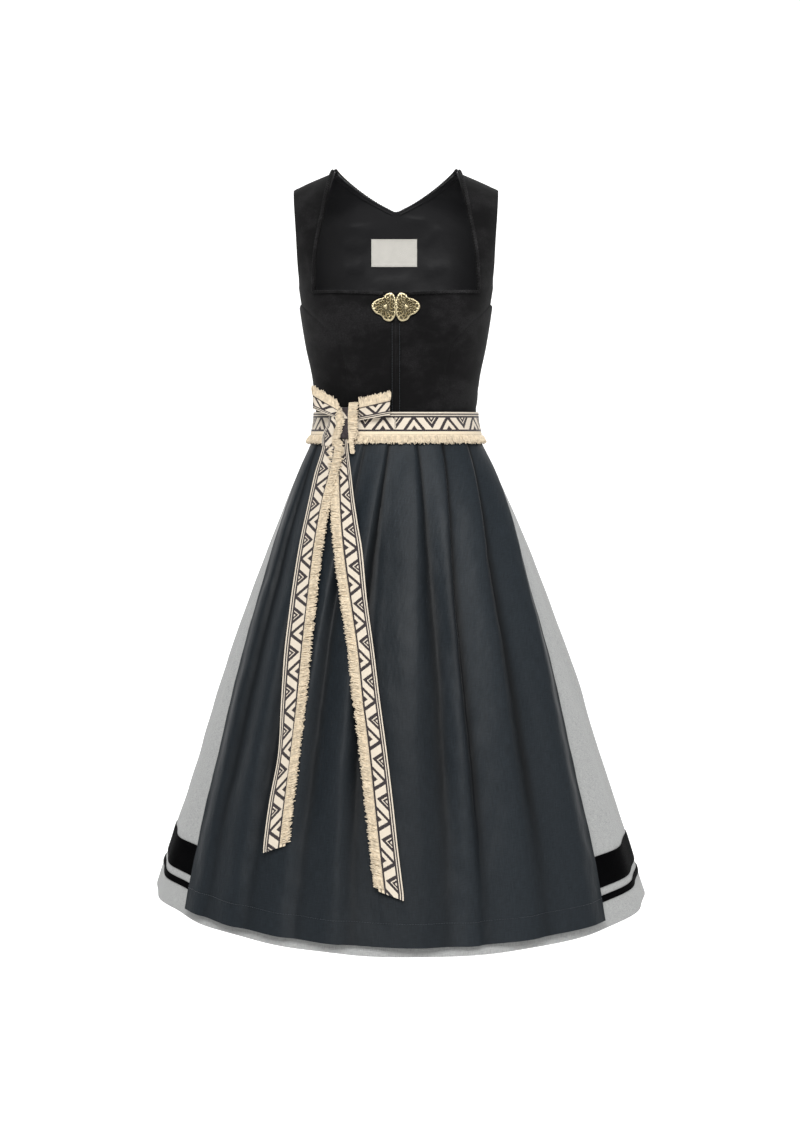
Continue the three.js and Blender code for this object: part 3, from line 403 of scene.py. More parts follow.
def strap_z(s, low, high, roll):
    """A strap climbs straight in its first half and rolls over the shoulder in its second."""
    straight = lerp(low, high - roll, np.clip(s * 2, 0, 1))
    return np.where(s <= 0.5, straight, high - roll + roll * np.sin(np.clip(s - 0.5, 0, 0.5) * pi))


def front_panel(side):
    """Front panel; u is 0 at the centre front and 1 at the princess seam and armhole."""

    def surface(u, v):
        z = lower_z(v, FRONT_TOP)
        x = u * PRINCESS_FRONT.read("x", z)
        t = np.clip(v - LOWER_ROWS, 0, 1)
        inner = lerp(NECK_MIDDLE_Z, NECK_CORNER_Z, np.clip(u / NECK_SHARE, 0, 1))
        edge = inner + (NECK_ARM_Z - NECK_CORNER_Z) * np.clip((u - NECK_SHARE) / (1 - NECK_SHARE), 0, 1)
        neck_x = u * lerp(PRINCESS_FRONT.read("x", FRONT_TOP), NECK_ARM_X, t)
        neck_z = lerp(FRONT_TOP, edge, t)
        share = np.clip((u - NECK_SHARE) / (1 - NECK_SHARE), 0, 1)
        s = np.clip((v - NECK_ROW) / STRAP_ROWS, 0, 1)
        inside_z = strap_z(s, NECK_CORNER_Z, NECK_Z, ROLL_FRONT)
        outside_z = strap_z(s, NECK_ARM_Z, TIP_Z, ROLL_FRONT)
        arm_x = lerp(NECK_ARM_X, ARMHOLE.read("x", outside_z), np.clip(s * STRAP_ROWS, 0, 1))
        strap_x = lerp(NECK_FRONT.read("x", inside_z), arm_x, share)
        x = np.where(v > NECK_ROW, strap_x, np.where(v > LOWER_ROWS, neck_x, x))
        z = np.where(v > NECK_ROW, lerp(inside_z, outside_z, share), np.where(v > LOWER_ROWS, neck_z, z))
        return torso_at(side * x, z)

    return surface


def front_limits(u, v):
    """The front panel turns a corner at the neckline, so its strap is read by itself."""
    strap = v > NECK_ROW
    low_u = np.where(strap, NECK_SHARE - 0.01, 0)
    return low_u, 1, np.where(strap, NECK_ROW, 0), np.where(strap, NECK_ROW + STRAP_ROWS, NECK_ROW)


def side_panel(side, back):
    """Side panel; u is 0 at the princess seam and 1 at the side seam."""
    seam, top = (PRINCESS_BACK, BACK_TOP) if back else (PRINCESS_FRONT, FRONT_TOP)

    def surface(u, v):
        seam_z = lower_z(v, top)
        angle = angle_at(torso_radius, seam.read("x", seam_z), seam_z, back)
        return torso_point(side * lerp(angle, pi / 2, u), lerp(seam_z, lower_z(v, SIDE_TOP), u))

    return surface


def v_edge(s):
    """Edge of the back neckline."""
    slope = (NECK_Z - BACK_POINT) / NECK_X
    roof_z = NECK_Z + NECK_X * SHOULDER_SLOPE - ROLL_BACK
    roll_x = (roof_z - BACK_POINT) / (slope + SHOULDER_SLOPE)
    first = 1 / BACK_V_ROWS
    later = roll_x + (NECK_X - roll_x) * np.sin(np.clip((s - first) / (1 - first), 0, 1) * pi / 2)
    x = np.where(s < first, roll_x * s / first, later)
    return x, BACK_POINT + slope * x - BACK_SAG * np.sin(pi * x / NECK_X)


def back_panel(side):
    """Back panel; u is 0 at the centre back and the V neck, and 1 at the armhole."""

    def surface(u, v):
        z = lower_z(v, BACK_TOP)
        x = u * PRINCESS_BACK.read("x", z)
        t = np.clip((v - LOWER_ROWS) / BACK_MIDDLE_ROWS, 0, 1)
        middle_x = u * lerp(PRINCESS_BACK.read("x", BACK_TOP), ARMHOLE.read("x", BACK_ARM_Z), t)
        middle_z = lerp(lerp(BACK_TOP, BACK_POINT, t), lerp(BACK_TOP, BACK_ARM_Z, t), u)
        s = np.clip((v - V_ROW) / BACK_V_ROWS, 0, 1)
        neck_x, neck_z = v_edge(s)
        first = 1 / BACK_V_ROWS
        low_z = lerp(BACK_ARM_Z, TIP_Z - ROLL_BACK, s / first)
        high_z = TIP_Z - ROLL_BACK + ROLL_BACK * np.sin(np.clip((s - first) / (1 - first), 0, 1) * pi / 2)
        arm_z = np.where(s < first, low_z, high_z)
        top_x = lerp(neck_x, ARMHOLE.read("x", arm_z), u)
        x = np.where(v > V_ROW, top_x, np.where(v > LOWER_ROWS, middle_x, x))
        z = np.where(v > V_ROW, lerp(neck_z, arm_z, u), np.where(v > LOWER_ROWS, middle_z, z))
        return torso_at(side * x, z, True)

    return surface


def tail_surface(table):
    """A hanging belt end; u is 0 at its stripes and 1 at its fringe tips, v 0 at the knot."""
    start = table.key[-1]
    end = table.key[0]

    def surface(u, v):
        z = lerp(start, end - CUT_SLANT * (0.5 - u), v)
        x = lerp(table.read("stripe", z), table.read("fringe", z), u)
        return on_radius(lambda angle, at: skirt_radius(angle, at) + table.read("lift", at), x, z)

    return surface


def loop_surface(loop):
    """A bow loop, from the knot in front round its fold and back behind; v goes up it."""
    knot, fold, y_knot, y_fold, depth, low, high, tilt_low, tilt_high = loop

    def surface(u, v):
        out = np.sin(pi * u)
        y = lerp(y_knot, y_fold, out) - depth * np.sin(2 * pi * u) * 0.8
        z = lerp(low + tilt_low * out, high + tilt_high * out, v)
        return np.stack([lerp(knot, fold, out), y, z], axis=-1)

    return surface


def spread(start, end, count):
    """Even steps from start to end."""
    return np.linspace(start, end, count + 1)


def ripple(place, size, seed, stretch=(1, 1, 1)):
    """Gentle uneven swells about `size` millimetres long, from -1 to 1."""
    random = np.random.default_rng(seed)
    total = 0
    for _ in range(9):
        way = random.normal(size=3) * np.array(stretch)
        way *= random.uniform(0.7, 1.4) * 2 * pi / size / np.linalg.norm(way)
        total = total + np.sin(place @ way + random.uniform(0, 2 * pi))
    return total / 5


def creases(place, lines):
    """Depth of soft creases, each drawn on one side of the dress with a width and a depth."""
    x, y, z = place[..., 0], place[..., 1], place[..., 2]
    sides = {"front": (x, -y), "back": (x, y), "left": (y, x), "right": (y, -x)}
    total = 0
    for side, x1, z1, x2, z2, width, depth in lines:
        across, facing = sides[side]
        length = np.hypot(x2 - x1, z2 - z1)
        share = ((across - x1) * (x2 - x1) + (z - z1) * (z2 - z1)) / length ** 2
        away = ((across - x1) * (z2 - z1) - (z - z1) * (x2 - x1)) / length
        ends = smooth(-0.1, 0.25, share) * (1 - smooth(0.75, 1.1, share))
        total = total + depth * np.exp(-((away / width) ** 2)) * ends * smooth(0, 25, facing)
    return total


def normals(surface, u, v, limits):
    """Unit normals of a surface over a grid."""
    step = 1e-3
    u_low, u_high, v_low, v_high = limits
    u1 = np.minimum(u + step, u_high)
    u0 = np.maximum(u - step, u_low)
    v1 = np.minimum(v + step, v_high)
    v0 = np.maximum(v - step, v_low)
    found = np.cross(surface(u1, v) - surface(u0, v), surface(u, v1) - surface(u, v0))
    return found / np.maximum(np.linalg.norm(found, axis=-1, keepdims=True), 1e-12)


def arcs(place, axis):
    """Distance along one way of a grid of points."""
    steps = np.linalg.norm(np.diff(place, axis=axis), axis=-1)
    start = np.zeros_like(np.take(steps, [0], axis=axis))
    return np.concatenate([start, np.cumsum(steps, axis=axis)], axis=axis)


def placed(name, data):
    """A new object at the origin, in the scene."""
    made = bpy.data.objects.new(name, data)
    bpy.context.scene.collection.objects.link(made)
    return made


def new_mesh(name, points, faces, uvs=None, sharp=50):
    """A mesh object at the origin from millimetre points, without unused points, faces pointing out."""
    faces = np.asarray(faces)
    used, inverse = np.unique(faces, return_inverse=True)
    points = np.asarray(points, float)[used] * MM
    faces = inverse.reshape(faces.shape)
    mesh = bpy.data.meshes.new(name)
    mesh.from_pydata(points.tolist(), [], faces.tolist())
    if uvs is not None:
        layer = mesh.uv_layers.new(name="UVMap")
        corner = np.empty(len(mesh.loops), dtype=np.int32)
        mesh.loops.foreach_get("vertex_index", corner)
        layer.data.foreach_set("uv", (np.asarray(uvs)[used] * MM)[corner].astype(np.float32).ravel())
    a, b, c = (points[faces[:, k]] for k in (0, 1, 2))
    d = points[faces[:, -1]]
    volume = np.einsum("ij,ij->", a, np.cross(b, c)) + np.einsum("ij,ij->", a, np.cross(c, d))
    if volume < 0:
        mesh.flip_normals()
    mesh.validate()
    mesh.shade_smooth()
    mesh.set_sharp_from_angle(angle=radians(sharp))
    return placed(name, mesh)


def wall(name, surface, us, vs, outer, inner, closed=False, filled=None, guide=None, limits=None,
         relief=None, across=None, sharp=50):
    """One closed wall over a grid of a surface, from `inner` to `outer` along its normals.

    `relief` moves both faces in or out, and `across` gives the UV of a patterned ribbon.
    """
    us = np.asarray(us, float)
    vs = np.asarray(vs, float)
    u, v = np.meshgrid(us, vs, indexing="ij")
    place = surface(u, v)
    if limits is not None:
        bounds = limits(u, v)
    elif closed:
        bounds = (-np.inf, np.inf, vs.min(), vs.max())
    else:
        bounds = (us.min(), us.max(), vs.min(), vs.max())
    normal = normals(surface, u, v, bounds)
    middle = (len(us) // 2, min(len(vs) // 3, len(vs) - 1))
    look = np.array(guide, float) if guide is not None else place[middle] * [1, 1, 0]
    if normal[middle] @ look < 0:
        normal = -normal
    depth = [(side(u, v) if callable(side) else side) + np.zeros(u.shape) for side in (outer, inner)]
    swell = relief(place, u, v) if relief is not None else 0
    faces_out, faces_in = (place + normal * (value + swell)[..., None] for value in depth)
    points = np.concatenate([faces_out.reshape(-1, 3), faces_in.reshape(-1, 3)])
    count = u.size
    ids = np.arange(count).reshape(u.shape)
    if closed:
        ids = np.concatenate([ids, ids[:1]])
    cells = np.ones((ids.shape[0] - 1, ids.shape[1] - 1), bool)
    if filled is not None:
        centre_u = (us[:-1] + us[1:]) / 2
        centre_v = (vs[:-1] + vs[1:]) / 2
        cells &= filled(*np.meshgrid(centre_u, centre_v, indexing="ij"))
    quads = []

    def add(mask, *corners):
        quads.append(np.stack([corner[mask] for corner in corners], axis=-1))

    a, b, c, d = ids[:-1, :-1], ids[1:, :-1], ids[1:, 1:], ids[:-1, 1:]
    add(cells, a, b, c, d)
    add(cells, a + count, d + count, c + count, b + count)
    before = np.pad(cells, ((0, 0), (1, 0)))[:, :-1]
    after = np.pad(cells, ((0, 0), (0, 1)))[:, 1:]
    add(cells & ~before, a, a + count, b + count, b)
    add(cells & ~after, c, c + count, d + count, d)
    if closed:
        left = np.roll(cells, 1, axis=0)
        right = np.roll(cells, -1, axis=0)
    else:
        left = np.pad(cells, ((1, 0), (0, 0)))[:-1]
        right = np.pad(cells, ((0, 1), (0, 0)))[1:]
    add(cells & ~left, d, d + count, a + count, a)
    add(cells & ~right, b, b + count, c + count, c)
    if across is not None:
        grid = across(u, v, faces_out)
    else:
        along = arcs(faces_out, 0)
        grid = np.stack([along - along[middle[0]], arcs(faces_out, 1)], axis=-1)
    uvs = np.concatenate([grid.reshape(-1, 2)] * 2)
    return new_mesh(name, points, np.concatenate(quads), uvs, sharp)


def dress(piece, slot, material, *nodes):
    """Gives a piece its finish, its body and the solids that it stands for."""
    piece.data.materials.clear()
    piece.data.materials.append(material)
    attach(piece, "root")
    if nodes:
        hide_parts(*nodes)
    return piece


def tube(name, path, away, radius, sides, relief=None):
    """A closed cord along points, each with the direction that leads away from the cloth."""
    path = np.asarray(path, float)
    ahead = unit(np.gradient(path, axis=0))
    side = unit(np.cross(away, ahead))
    up = np.cross(ahead, side)
    along = arcs(path, 0)
    turn = np.linspace(0, 2 * pi, sides, endpoint=False)
    ring_turn, ring_along = np.meshgrid(turn, along)
    size = radius * (1 + (relief(ring_turn, ring_along) if relief is not None else 0 * ring_turn))
    size[0] *= 0.55
    size[-1] *= 0.55
    points = path[:, None] + size[..., None] * (
        np.cos(ring_turn)[..., None] * side[:, None] + np.sin(ring_turn)[..., None] * up[:, None]
    )
    rings = len(path)
    points = np.concatenate([points.reshape(-1, 3), path[:1], path[-1:]])
    ids = np.arange(rings * sides).reshape(rings, sides)
    nearby = np.roll(ids, -1, axis=1)
    quads = np.stack([ids[:-1], nearby[:-1], nearby[1:], ids[1:]], axis=-1).reshape(-1, 4)
    faces = [tuple(q) for q in quads.tolist()]
    for ring, centre in ((0, rings * sides), (rings - 1, rings * sides + 1)):
        for k in range(sides):
            pair = (ids[ring, k], nearby[ring, k])
            faces.append((pair[1], pair[0], centre) if ring == 0 else (pair[0], pair[1], centre))
    uvs = np.stack([ring_along, ring_turn * radius], axis=-1).reshape(-1, 2)
    uvs = np.concatenate([uvs, [[0, 0], [along[-1], 0]]])
    mesh = bpy.data.meshes.new(name)
    mesh.from_pydata((points * MM).tolist(), [], faces)
    layer = mesh.uv_layers.new(name="UVMap")
    for loop in mesh.loops:
        layer.data[loop.index].uv = uvs[loop.vertex_index] * MM
    mesh.validate()
    mesh.shade_smooth()
    return outward(placed(name, mesh))


def vertex_places(piece):
    """Millimetre coordinates of a piece's points."""
    mesh = piece.data
    places = np.empty(len(mesh.vertices) * 3, dtype=np.float32)
    mesh.vertices.foreach_get("co", places)
    return places.reshape(-1, 3).T / MM


def store(piece, name, values):
    """Stores a value at each point of a piece for its material."""
    layer = piece.data.attributes.new(name, "FLOAT", "POINT")
    layer.data.foreach_set("value", np.asarray(values, np.float32))


def outward(piece):
    """Turns a closed mesh's faces outwards if they point in."""
    mesh = piece.data
    mesh.calc_loop_triangles()
    corners = np.empty(len(mesh.loop_triangles) * 3, dtype=np.int32)
    mesh.loop_triangles.foreach_get("vertices", corners)
    a, b, c = vertex_places(piece).T[corners.reshape(-1, 3)].transpose(1, 0, 2)
    if np.einsum("ij,ij->", a, np.cross(b, c)) < 0:
        mesh.flip_normals()
    return piece


FINISHES = {}


class Tree:
    """A node tree with short ways to add and join its nodes."""

    def __init__(self, tree):
        self.tree = tree

    def add(self, kind, inputs=None, **settings):
        """Adds a node, sets it up, and joins or fills its inputs."""
        node = self.tree.nodes.new(kind)
        for name, value in settings.items():
            setattr(node, name, value)
        for name, value in (inputs or {}).items():
            socket = node.inputs[name]
            if isinstance(value, bpy.types.NodeSocket):
                self.tree.links.new(value, socket)
            else:
                socket.default_value = value
        return node

    def math(self, operation, *values):
        """A sum of one, two or three values."""
        return self.add("ShaderNodeMath", dict(enumerate(values)), operation=operation).outputs[0]

    def mix(self, factor, first, second):
        """A mix of two colours."""
        node = self.add("ShaderNodeMix", data_type="RGBA")
        for socket, value in ((node.inputs[0], factor), (node.inputs[6], first), (node.inputs[7], second)):
            if isinstance(value, bpy.types.NodeSocket):
                self.tree.links.new(value, socket)
            elif hasattr(value, "__len__"):
                socket.default_value = (*value[:3], 1)
            else:
                socket.default_value = value
        return node.outputs[2]

    def ramp(self, value, stops, sharp=False):
        """A value turned into another by stops of (place, value)."""
        node = self.add("ShaderNodeValToRGB", {0: value})
        node.color_ramp.interpolation = "CONSTANT" if sharp else "EASE"
        marks = node.color_ramp.elements
        marks[0].position = stops[0][0]
        marks[1].position = stops[-1][0]
        for place, _ in stops[1:-1]:
            marks.new(place)
        for mark, (_, level) in zip(marks, stops):
            mark.color = (level, level, level, 1)
        return node.outputs[0]

    def noise(self, vector, scale, detail=2.0, rough=0.5):
        """Smooth noise from 0 to 1."""
        inputs = {"Vector": vector, "Scale": scale, "Detail": detail, "Roughness": rough}
        return self.add("ShaderNodeTexNoise", inputs).outputs[0]

    def stretched(self, vector, scale):
        """A vector stretched along its axes."""
        inputs = {0: vector, 1: scale}
        return self.add("ShaderNodeVectorMath", inputs, operation="MULTIPLY").outputs[0]

    def stored(self, name):
        """A value stored at the piece's points."""
        settings = {"attribute_name": name, "attribute_type": "GEOMETRY"}
        return self.add("ShaderNodeAttribute", **settings).outputs["Fac"]

    def waves(self, value, pitch):
        """Even waves along a value, with their pitch in metres."""
        return self.math("SINE", self.math("MULTIPLY", value, 2 * pi / pitch))

    def weave(self, vector, pitch):
        """Raised crossings of threads, with their pitch in metres."""
        ways = self.add("ShaderNodeSeparateXYZ", {0: vector}).outputs[:2]
        return self.math("MULTIPLY", *(self.waves(way, pitch) for way in ways))

    def bump(self, height, strength, distance, normal=None):
        """A bumped normal; the distance is in metres."""
        inputs = {"Height": height, "Strength": strength, "Distance": distance}
        if normal is not None:
            inputs["Normal"] = normal
        return self.add("ShaderNodeBump", inputs).outputs[0]


def finish(name):
    """A new material with its tree, its shader, and its object and UV coordinates."""
    material = bpy.data.materials.new(name)
    material.use_nodes = True
    tree = Tree(material.node_tree)
    shader = material.node_tree.nodes["Principled BSDF"]
    places = tree.add("ShaderNodeTexCoord")
    return material, tree, shader, places.outputs["Object"], places.outputs["UV"]


def join(tree, shader, **sockets):
    """Joins values to the shader's sockets by name, or sets them."""
    for name, value in sockets.items():
        socket = shader.inputs[name.replace("_", " ")]
        if isinstance(value, bpy.types.NodeSocket):
            tree.tree.links.new(value, socket)
        elif hasattr(value, "__len__") and len(socket.default_value) == 4:
            socket.default_value = (*value[:3], 1)
        else:
            socket.default_value = value


def shade(colour, factor):
    """A colour made lighter or darker."""
    return tuple(min(part * factor, 1) for part in colour[:3])


def suede(colours, name="suede_nap", tone=1.0):
    """Black suede: a short nap with soft patches where it is brushed the other way."""
    material, tree, shader, place, _ = finish(name)
    patches = tree.noise(tree.stretched(place, (15, 15, 22)), 1, 5, 0.62)
    brushed = tree.ramp(patches, [(0.4, 0), (0.62, 1)])
    nap = tree.noise(place, 900, 3, 0.7)
    # A tone above one makes a lighter copy of the suede, which is painted light, as on the piping
    base = tree.mix(brushed, shade(colours.suede, 0.5 * tone), shade(colours.suede, 2.3 * tone))
    colour = tree.mix(tree.ramp(nap, [(0.3, 0), (0.75, 1)]), shade(colours.suede, 0.5), base)
    pebble = tree.noise(place, 320, 4, 0.6)
    normal = tree.bump(pebble, 0.35, 0.0006, tree.bump(patches, 0.25, 0.0015))
    join(tree, shader, Base_Color=colour, Roughness=0.92, Normal=normal)
    join(tree, shader, Sheen_Weight=0.035, Sheen_Roughness=0.5, Specular_IOR_Level=0.08)
    return material


def satin(colours):
    """Charcoal lining satin with fine threads along its length."""
    material, tree, shader, place, uv = finish("lining_satin")
    threads = tree.noise(tree.stretched(uv, (3200, 160, 1)), 1, 2, 0.5)
    slow = tree.noise(place, 22, 3, 0.5)
    colour = tree.mix(slow, shade(colours.satin, 0.75), shade(colours.satin, 1.3))
    colour = tree.mix(tree.math("MULTIPLY", threads, 0.35), colour, shade(colours.satin, 1.9))
    normal = tree.bump(threads, 0.25, 0.0003, tree.bump(slow, 0.4, 0.003))
    rough = tree.math("MULTIPLY_ADD", threads, 0.2, 0.32)
    join(tree, shader, Base_Color=colour, Roughness=rough, Normal=normal)
    join(tree, shader, Sheen_Weight=0.02, Sheen_Roughness=0.3, Specular_IOR_Level=0.14)
    return material


def wool(colours):
    """Light grey melange cloth: fine flecks along both ways of its weave."""
    material, tree, shader, place, uv = finish("skirt_melange")
    warp = tree.noise(tree.stretched(uv, (1500, 110, 1)), 1, 3, 0.65)
    weft = tree.noise(tree.stretched(uv, (130, 1400, 1)), 1, 3, 0.65)
    fleck = tree.math("MULTIPLY_ADD", warp, 0.5, tree.math("MULTIPLY", weft, 0.5))
    tone = tree.ramp(fleck, [(0.36, 0), (0.5, 0.55), (0.64, 1)])
    slow = tree.noise(place, 9, 3, 0.5)
    colour = tree.mix(tone, shade(colours.skirt, 0.6), shade(colours.skirt, 1.22))
    colour = tree.mix(tree.math("MULTIPLY", slow, 0.14), colour, shade(colours.skirt, 0.8))
    weave = tree.weave(uv, 0.0011)
    normal = tree.bump(weave, 0.3, 0.0003, tree.bump(fleck, 0.4, 0.0006, tree.bump(slow, 0.3, 0.004)))
    join(tree, shader, Base_Color=colour, Roughness=0.88, Normal=normal)
    join(tree, shader, Sheen_Weight=0.12, Sheen_Roughness=0.6, Specular_IOR_Level=0.25)
    return material


def velvet(colours):
    """Black velvet ribbon with a dense pile."""
    material, tree, shader, place, uv = finish("velvet_pile")
    pile = tree.noise(place, 1500, 2, 0.6)
    crush = tree.noise(place, 60, 4, 0.6)
    colour = tree.mix(crush, shade(colours.velvet, 0.6), shade(colours.velvet, 1.8))
    edge = tree.add("ShaderNodeSeparateXYZ", {0: uv}).outputs[1]
    ribs = tree.waves(edge, 0.0009)
    normal = tree.bump(pile, 0.5, 0.0006, tree.bump(ribs, 0.1, 0.0002))
    join(tree, shader, Base_Color=colour, Roughness=1.0, Normal=normal)
    join(tree, shader, Sheen_Weight=0.012, Sheen_Roughness=0.3, Specular_IOR_Level=0.02)
    return material


def taffeta(colours):
    """Slate taffeta: a tight crisp weave, with painted shade in the grooves beside its pleats."""
    material, tree, shader, _, uv = finish("apron_taffeta")
    fold = tree.stored("fold")
    slub = tree.noise(tree.stretched(uv, (90, 1100, 1)), 1, 3, 0.6)
    warp = tree.noise(tree.stretched(uv, (1500, 60, 1)), 1, 2, 0.5)
    fleck = tree.math("MULTIPLY_ADD", slub, 0.5, tree.math("MULTIPLY", warp, 0.5))
    colour = tree.mix(tree.ramp(fleck, [(0.35, 0), (0.65, 1)]), shade(colours.apron, 0.72),
                      shade(colours.apron, 1.3))
    # Painted light and shade: the stored fold value darkens the colour to an eighth in the pleats' grooves
    # and carries each pleat's painted tone
    colour = tree.mix(fold, shade(colours.apron, 0.12), colour)
    slow = tree.noise(tree.stretched(uv, (14, 5, 1)), 1, 4, 0.55)
    crumple = tree.noise(tree.stretched(uv, (60, 22, 1)), 1, 4, 0.6)
    normal = tree.bump(fleck, 0.25, 0.0003, tree.bump(crumple, 0.35, 0.0022, tree.bump(slow, 0.4, 0.008)))
    rough = tree.math("MULTIPLY_ADD", slow, 0.2, 0.42)
    join(tree, shader, Base_Color=colour, Roughness=rough, Normal=normal)
    join(tree, shader, Sheen_Weight=0.04, Sheen_Roughness=0.35, Specular_IOR_Level=0.16)
    return material


def ribbon(colours):
    """Woven ribbon: stripes along one edge and a dark zigzag between dark lines."""
    material, tree, shader, _, uv = finish("zigzag_weave")
    along, across, _ = tree.add("ShaderNodeSeparateXYZ", {0: uv}).outputs
    step = 0.0007
    along, across = (
        tree.math("MULTIPLY", tree.math("FLOOR", tree.math("DIVIDE", way, step)), step / MM)
        for way in (along, across)
    )
    width = tree.math("DIVIDE", across, RIBBON_WIDTH)
    repeat = 51.4
    turned = tree.math("FRACT", tree.math("ADD", tree.math("DIVIDE", along, repeat), 40.5))
    away = tree.math("ABSOLUTE", tree.math("SUBTRACT", turned, 0.5))
    rise = tree.math("DIVIDE", tree.math("SUBTRACT", across, 8.0), 18.5)
    zigzag = tree.math("MULTIPLY_ADD", away, repeat, tree.math("MULTIPLY", rise, 13.1))
    marks = [(0, 0), (2.1, 1), (5.1, 0), (6.6, 1), (11.5, 0), (22.3, 1), (27.4, 0), (33.9, 1)]
    figure = tree.ramp(tree.math("DIVIDE", zigzag, 40.0), [(a / 40, b) for a, b in marks], True)
    zone = [(0, 0), (8.0, 1), (26.0, 0)]
    inside = tree.ramp(width, [(a / RIBBON_WIDTH, b) for a, b in zone], True)
    lines = [(0, 0), (1.6, 1), (4.0, 0), (5.4, 1), (8.3, 0), (25.6, 1), (28.6, 0)]
    edge = tree.ramp(width, [(a / RIBBON_WIDTH, b) for a, b in lines], True)
    dark = tree.math("MAXIMUM", tree.math("MULTIPLY", figure, inside), edge)
    fibre = tree.noise(tree.stretched(uv, (1700, 500, 1)), 1, 2, 0.6)
    light = tree.mix(fibre, shade(colours.ribbon, 0.84), colours.ribbon[:])
    deep = tree.mix(fibre, shade(colours.pattern, 0.6), shade(colours.pattern, 1.6))
    selvage = tree.ramp(width, [(0, 0), (0.862, 1)], True)
    light = tree.mix(selvage, light, shade(colours.fringe, 1.04))
    colour = tree.mix(dark, light, deep)
    weave = tree.weave(uv, 0.0014)
    normal = tree.bump(weave, 0.5, 0.0004, tree.bump(fibre, 0.3, 0.0004))
    join(tree, shader, Base_Color=colour, Roughness=0.72, Normal=normal)
    join(tree, shader, Sheen_Weight=0.12, Specular_IOR_Level=0.35)
    return material


def thread(name, colour, rough=0.7):
    """Twisted thread."""
    material, tree, shader, place, _ = finish(name)
    tint = tree.noise(place, 260, 3, 0.6)
    twist = tree.noise(place, 2400, 2, 0.5)
    tone = tree.mix(tree.ramp(tint, [(0.3, 0), (0.7, 1)]), shade(colour, 0.8), shade(colour, 1.12))
    join(tree, shader, Base_Color=tone, Roughness=rough, Normal=tree.bump(twist, 0.4, 0.0003))
    join(tree, shader, Sheen_Weight=0.15, Specular_IOR_Level=0.3)
    return material


def metal(colours):
    """Antique pale gold: its patina and painted shade darken its hollows, and its raised parts are polished.
    """
    material, tree, shader, place, _ = finish("aged_brass_painted_shade")
    height = tree.stored("height")
    stain = tree.noise(place, 240, 4, 0.6)
    raised = tree.ramp(tree.math("MULTIPLY_ADD", stain, 0.25, height), [(0.25, 0), (0.75, 1)])
    # Painted shade with the patina: the colour falls to about a fifth of the metal's in the hollows
    colour = tree.mix(raised, shade(colours.metal, 0.22), colours.metal[:])
    rough = tree.math("MULTIPLY_ADD", raised, -0.25, 0.55)
    normal = tree.bump(stain, 0.15, 0.0004)
    join(tree, shader, Base_Color=colour, Metallic=1.0, Roughness=rough, Normal=normal)
    return material


def label_cloth(colours):
    """Bare cream woven label."""
    material, tree, shader, place, uv = finish("label_weave")
    weave = tree.weave(uv, 0.0008)
    tint = tree.noise(place, 90, 3, 0.5)
    colour = tree.mix(tint, shade(colours.label, 0.88), shade(colours.label, 1.05))
    join(tree, shader, Base_Color=colour, Roughness=0.6, Normal=tree.bump(weave, 0.4, 0.0003))
    join(tree, shader, Sheen_Weight=0.1)
    return material


def plain(name, colour, rough, glow):
    """A plain soft studio surface with a slight glow."""
    material, tree, shader, place, _ = finish(name)
    grain = tree.noise(place, 6, 2, 0.5)
    tone = tree.mix(grain, shade(colour, 0.995), colour)
    join(tree, shader, Base_Color=tone, Roughness=rough, Specular_IOR_Level=0.1)
    join(tree, shader, Emission_Color=(1, 1, 1), Emission_Strength=glow)
    return material


def shared(name, make, *args):
    """A material made once and shared by its pieces."""
    if name not in FINISHES:
        FINISHES[name] = make(*args)
    return FINISHES[name]


def growth_tree(name, inputs):
    """An empty geometry tree with named inputs; gives the tree, its input and output nodes."""
    group = bpy.data.node_groups.new(name, "GeometryNodeTree")
    group.interface.new_socket("Geometry", in_out="INPUT", socket_type="NodeSocketGeometry")
    group.interface.new_socket("Geometry", in_out="OUTPUT", socket_type="NodeSocketGeometry")
    for label, kind in inputs.items():
        group.interface.new_socket(label, in_out="INPUT", socket_type=kind)
    tree = Tree(group)
    return tree, tree.add("NodeGroupInput").outputs, tree.add("NodeGroupOutput")


def vector_attribute(tree, name):
    """A stored direction of the path."""
    settings = {"data_type": "FLOAT_VECTOR"}
    return tree.add("GeometryNodeInputNamedAttribute", {"Name": name}, **settings).outputs[0]


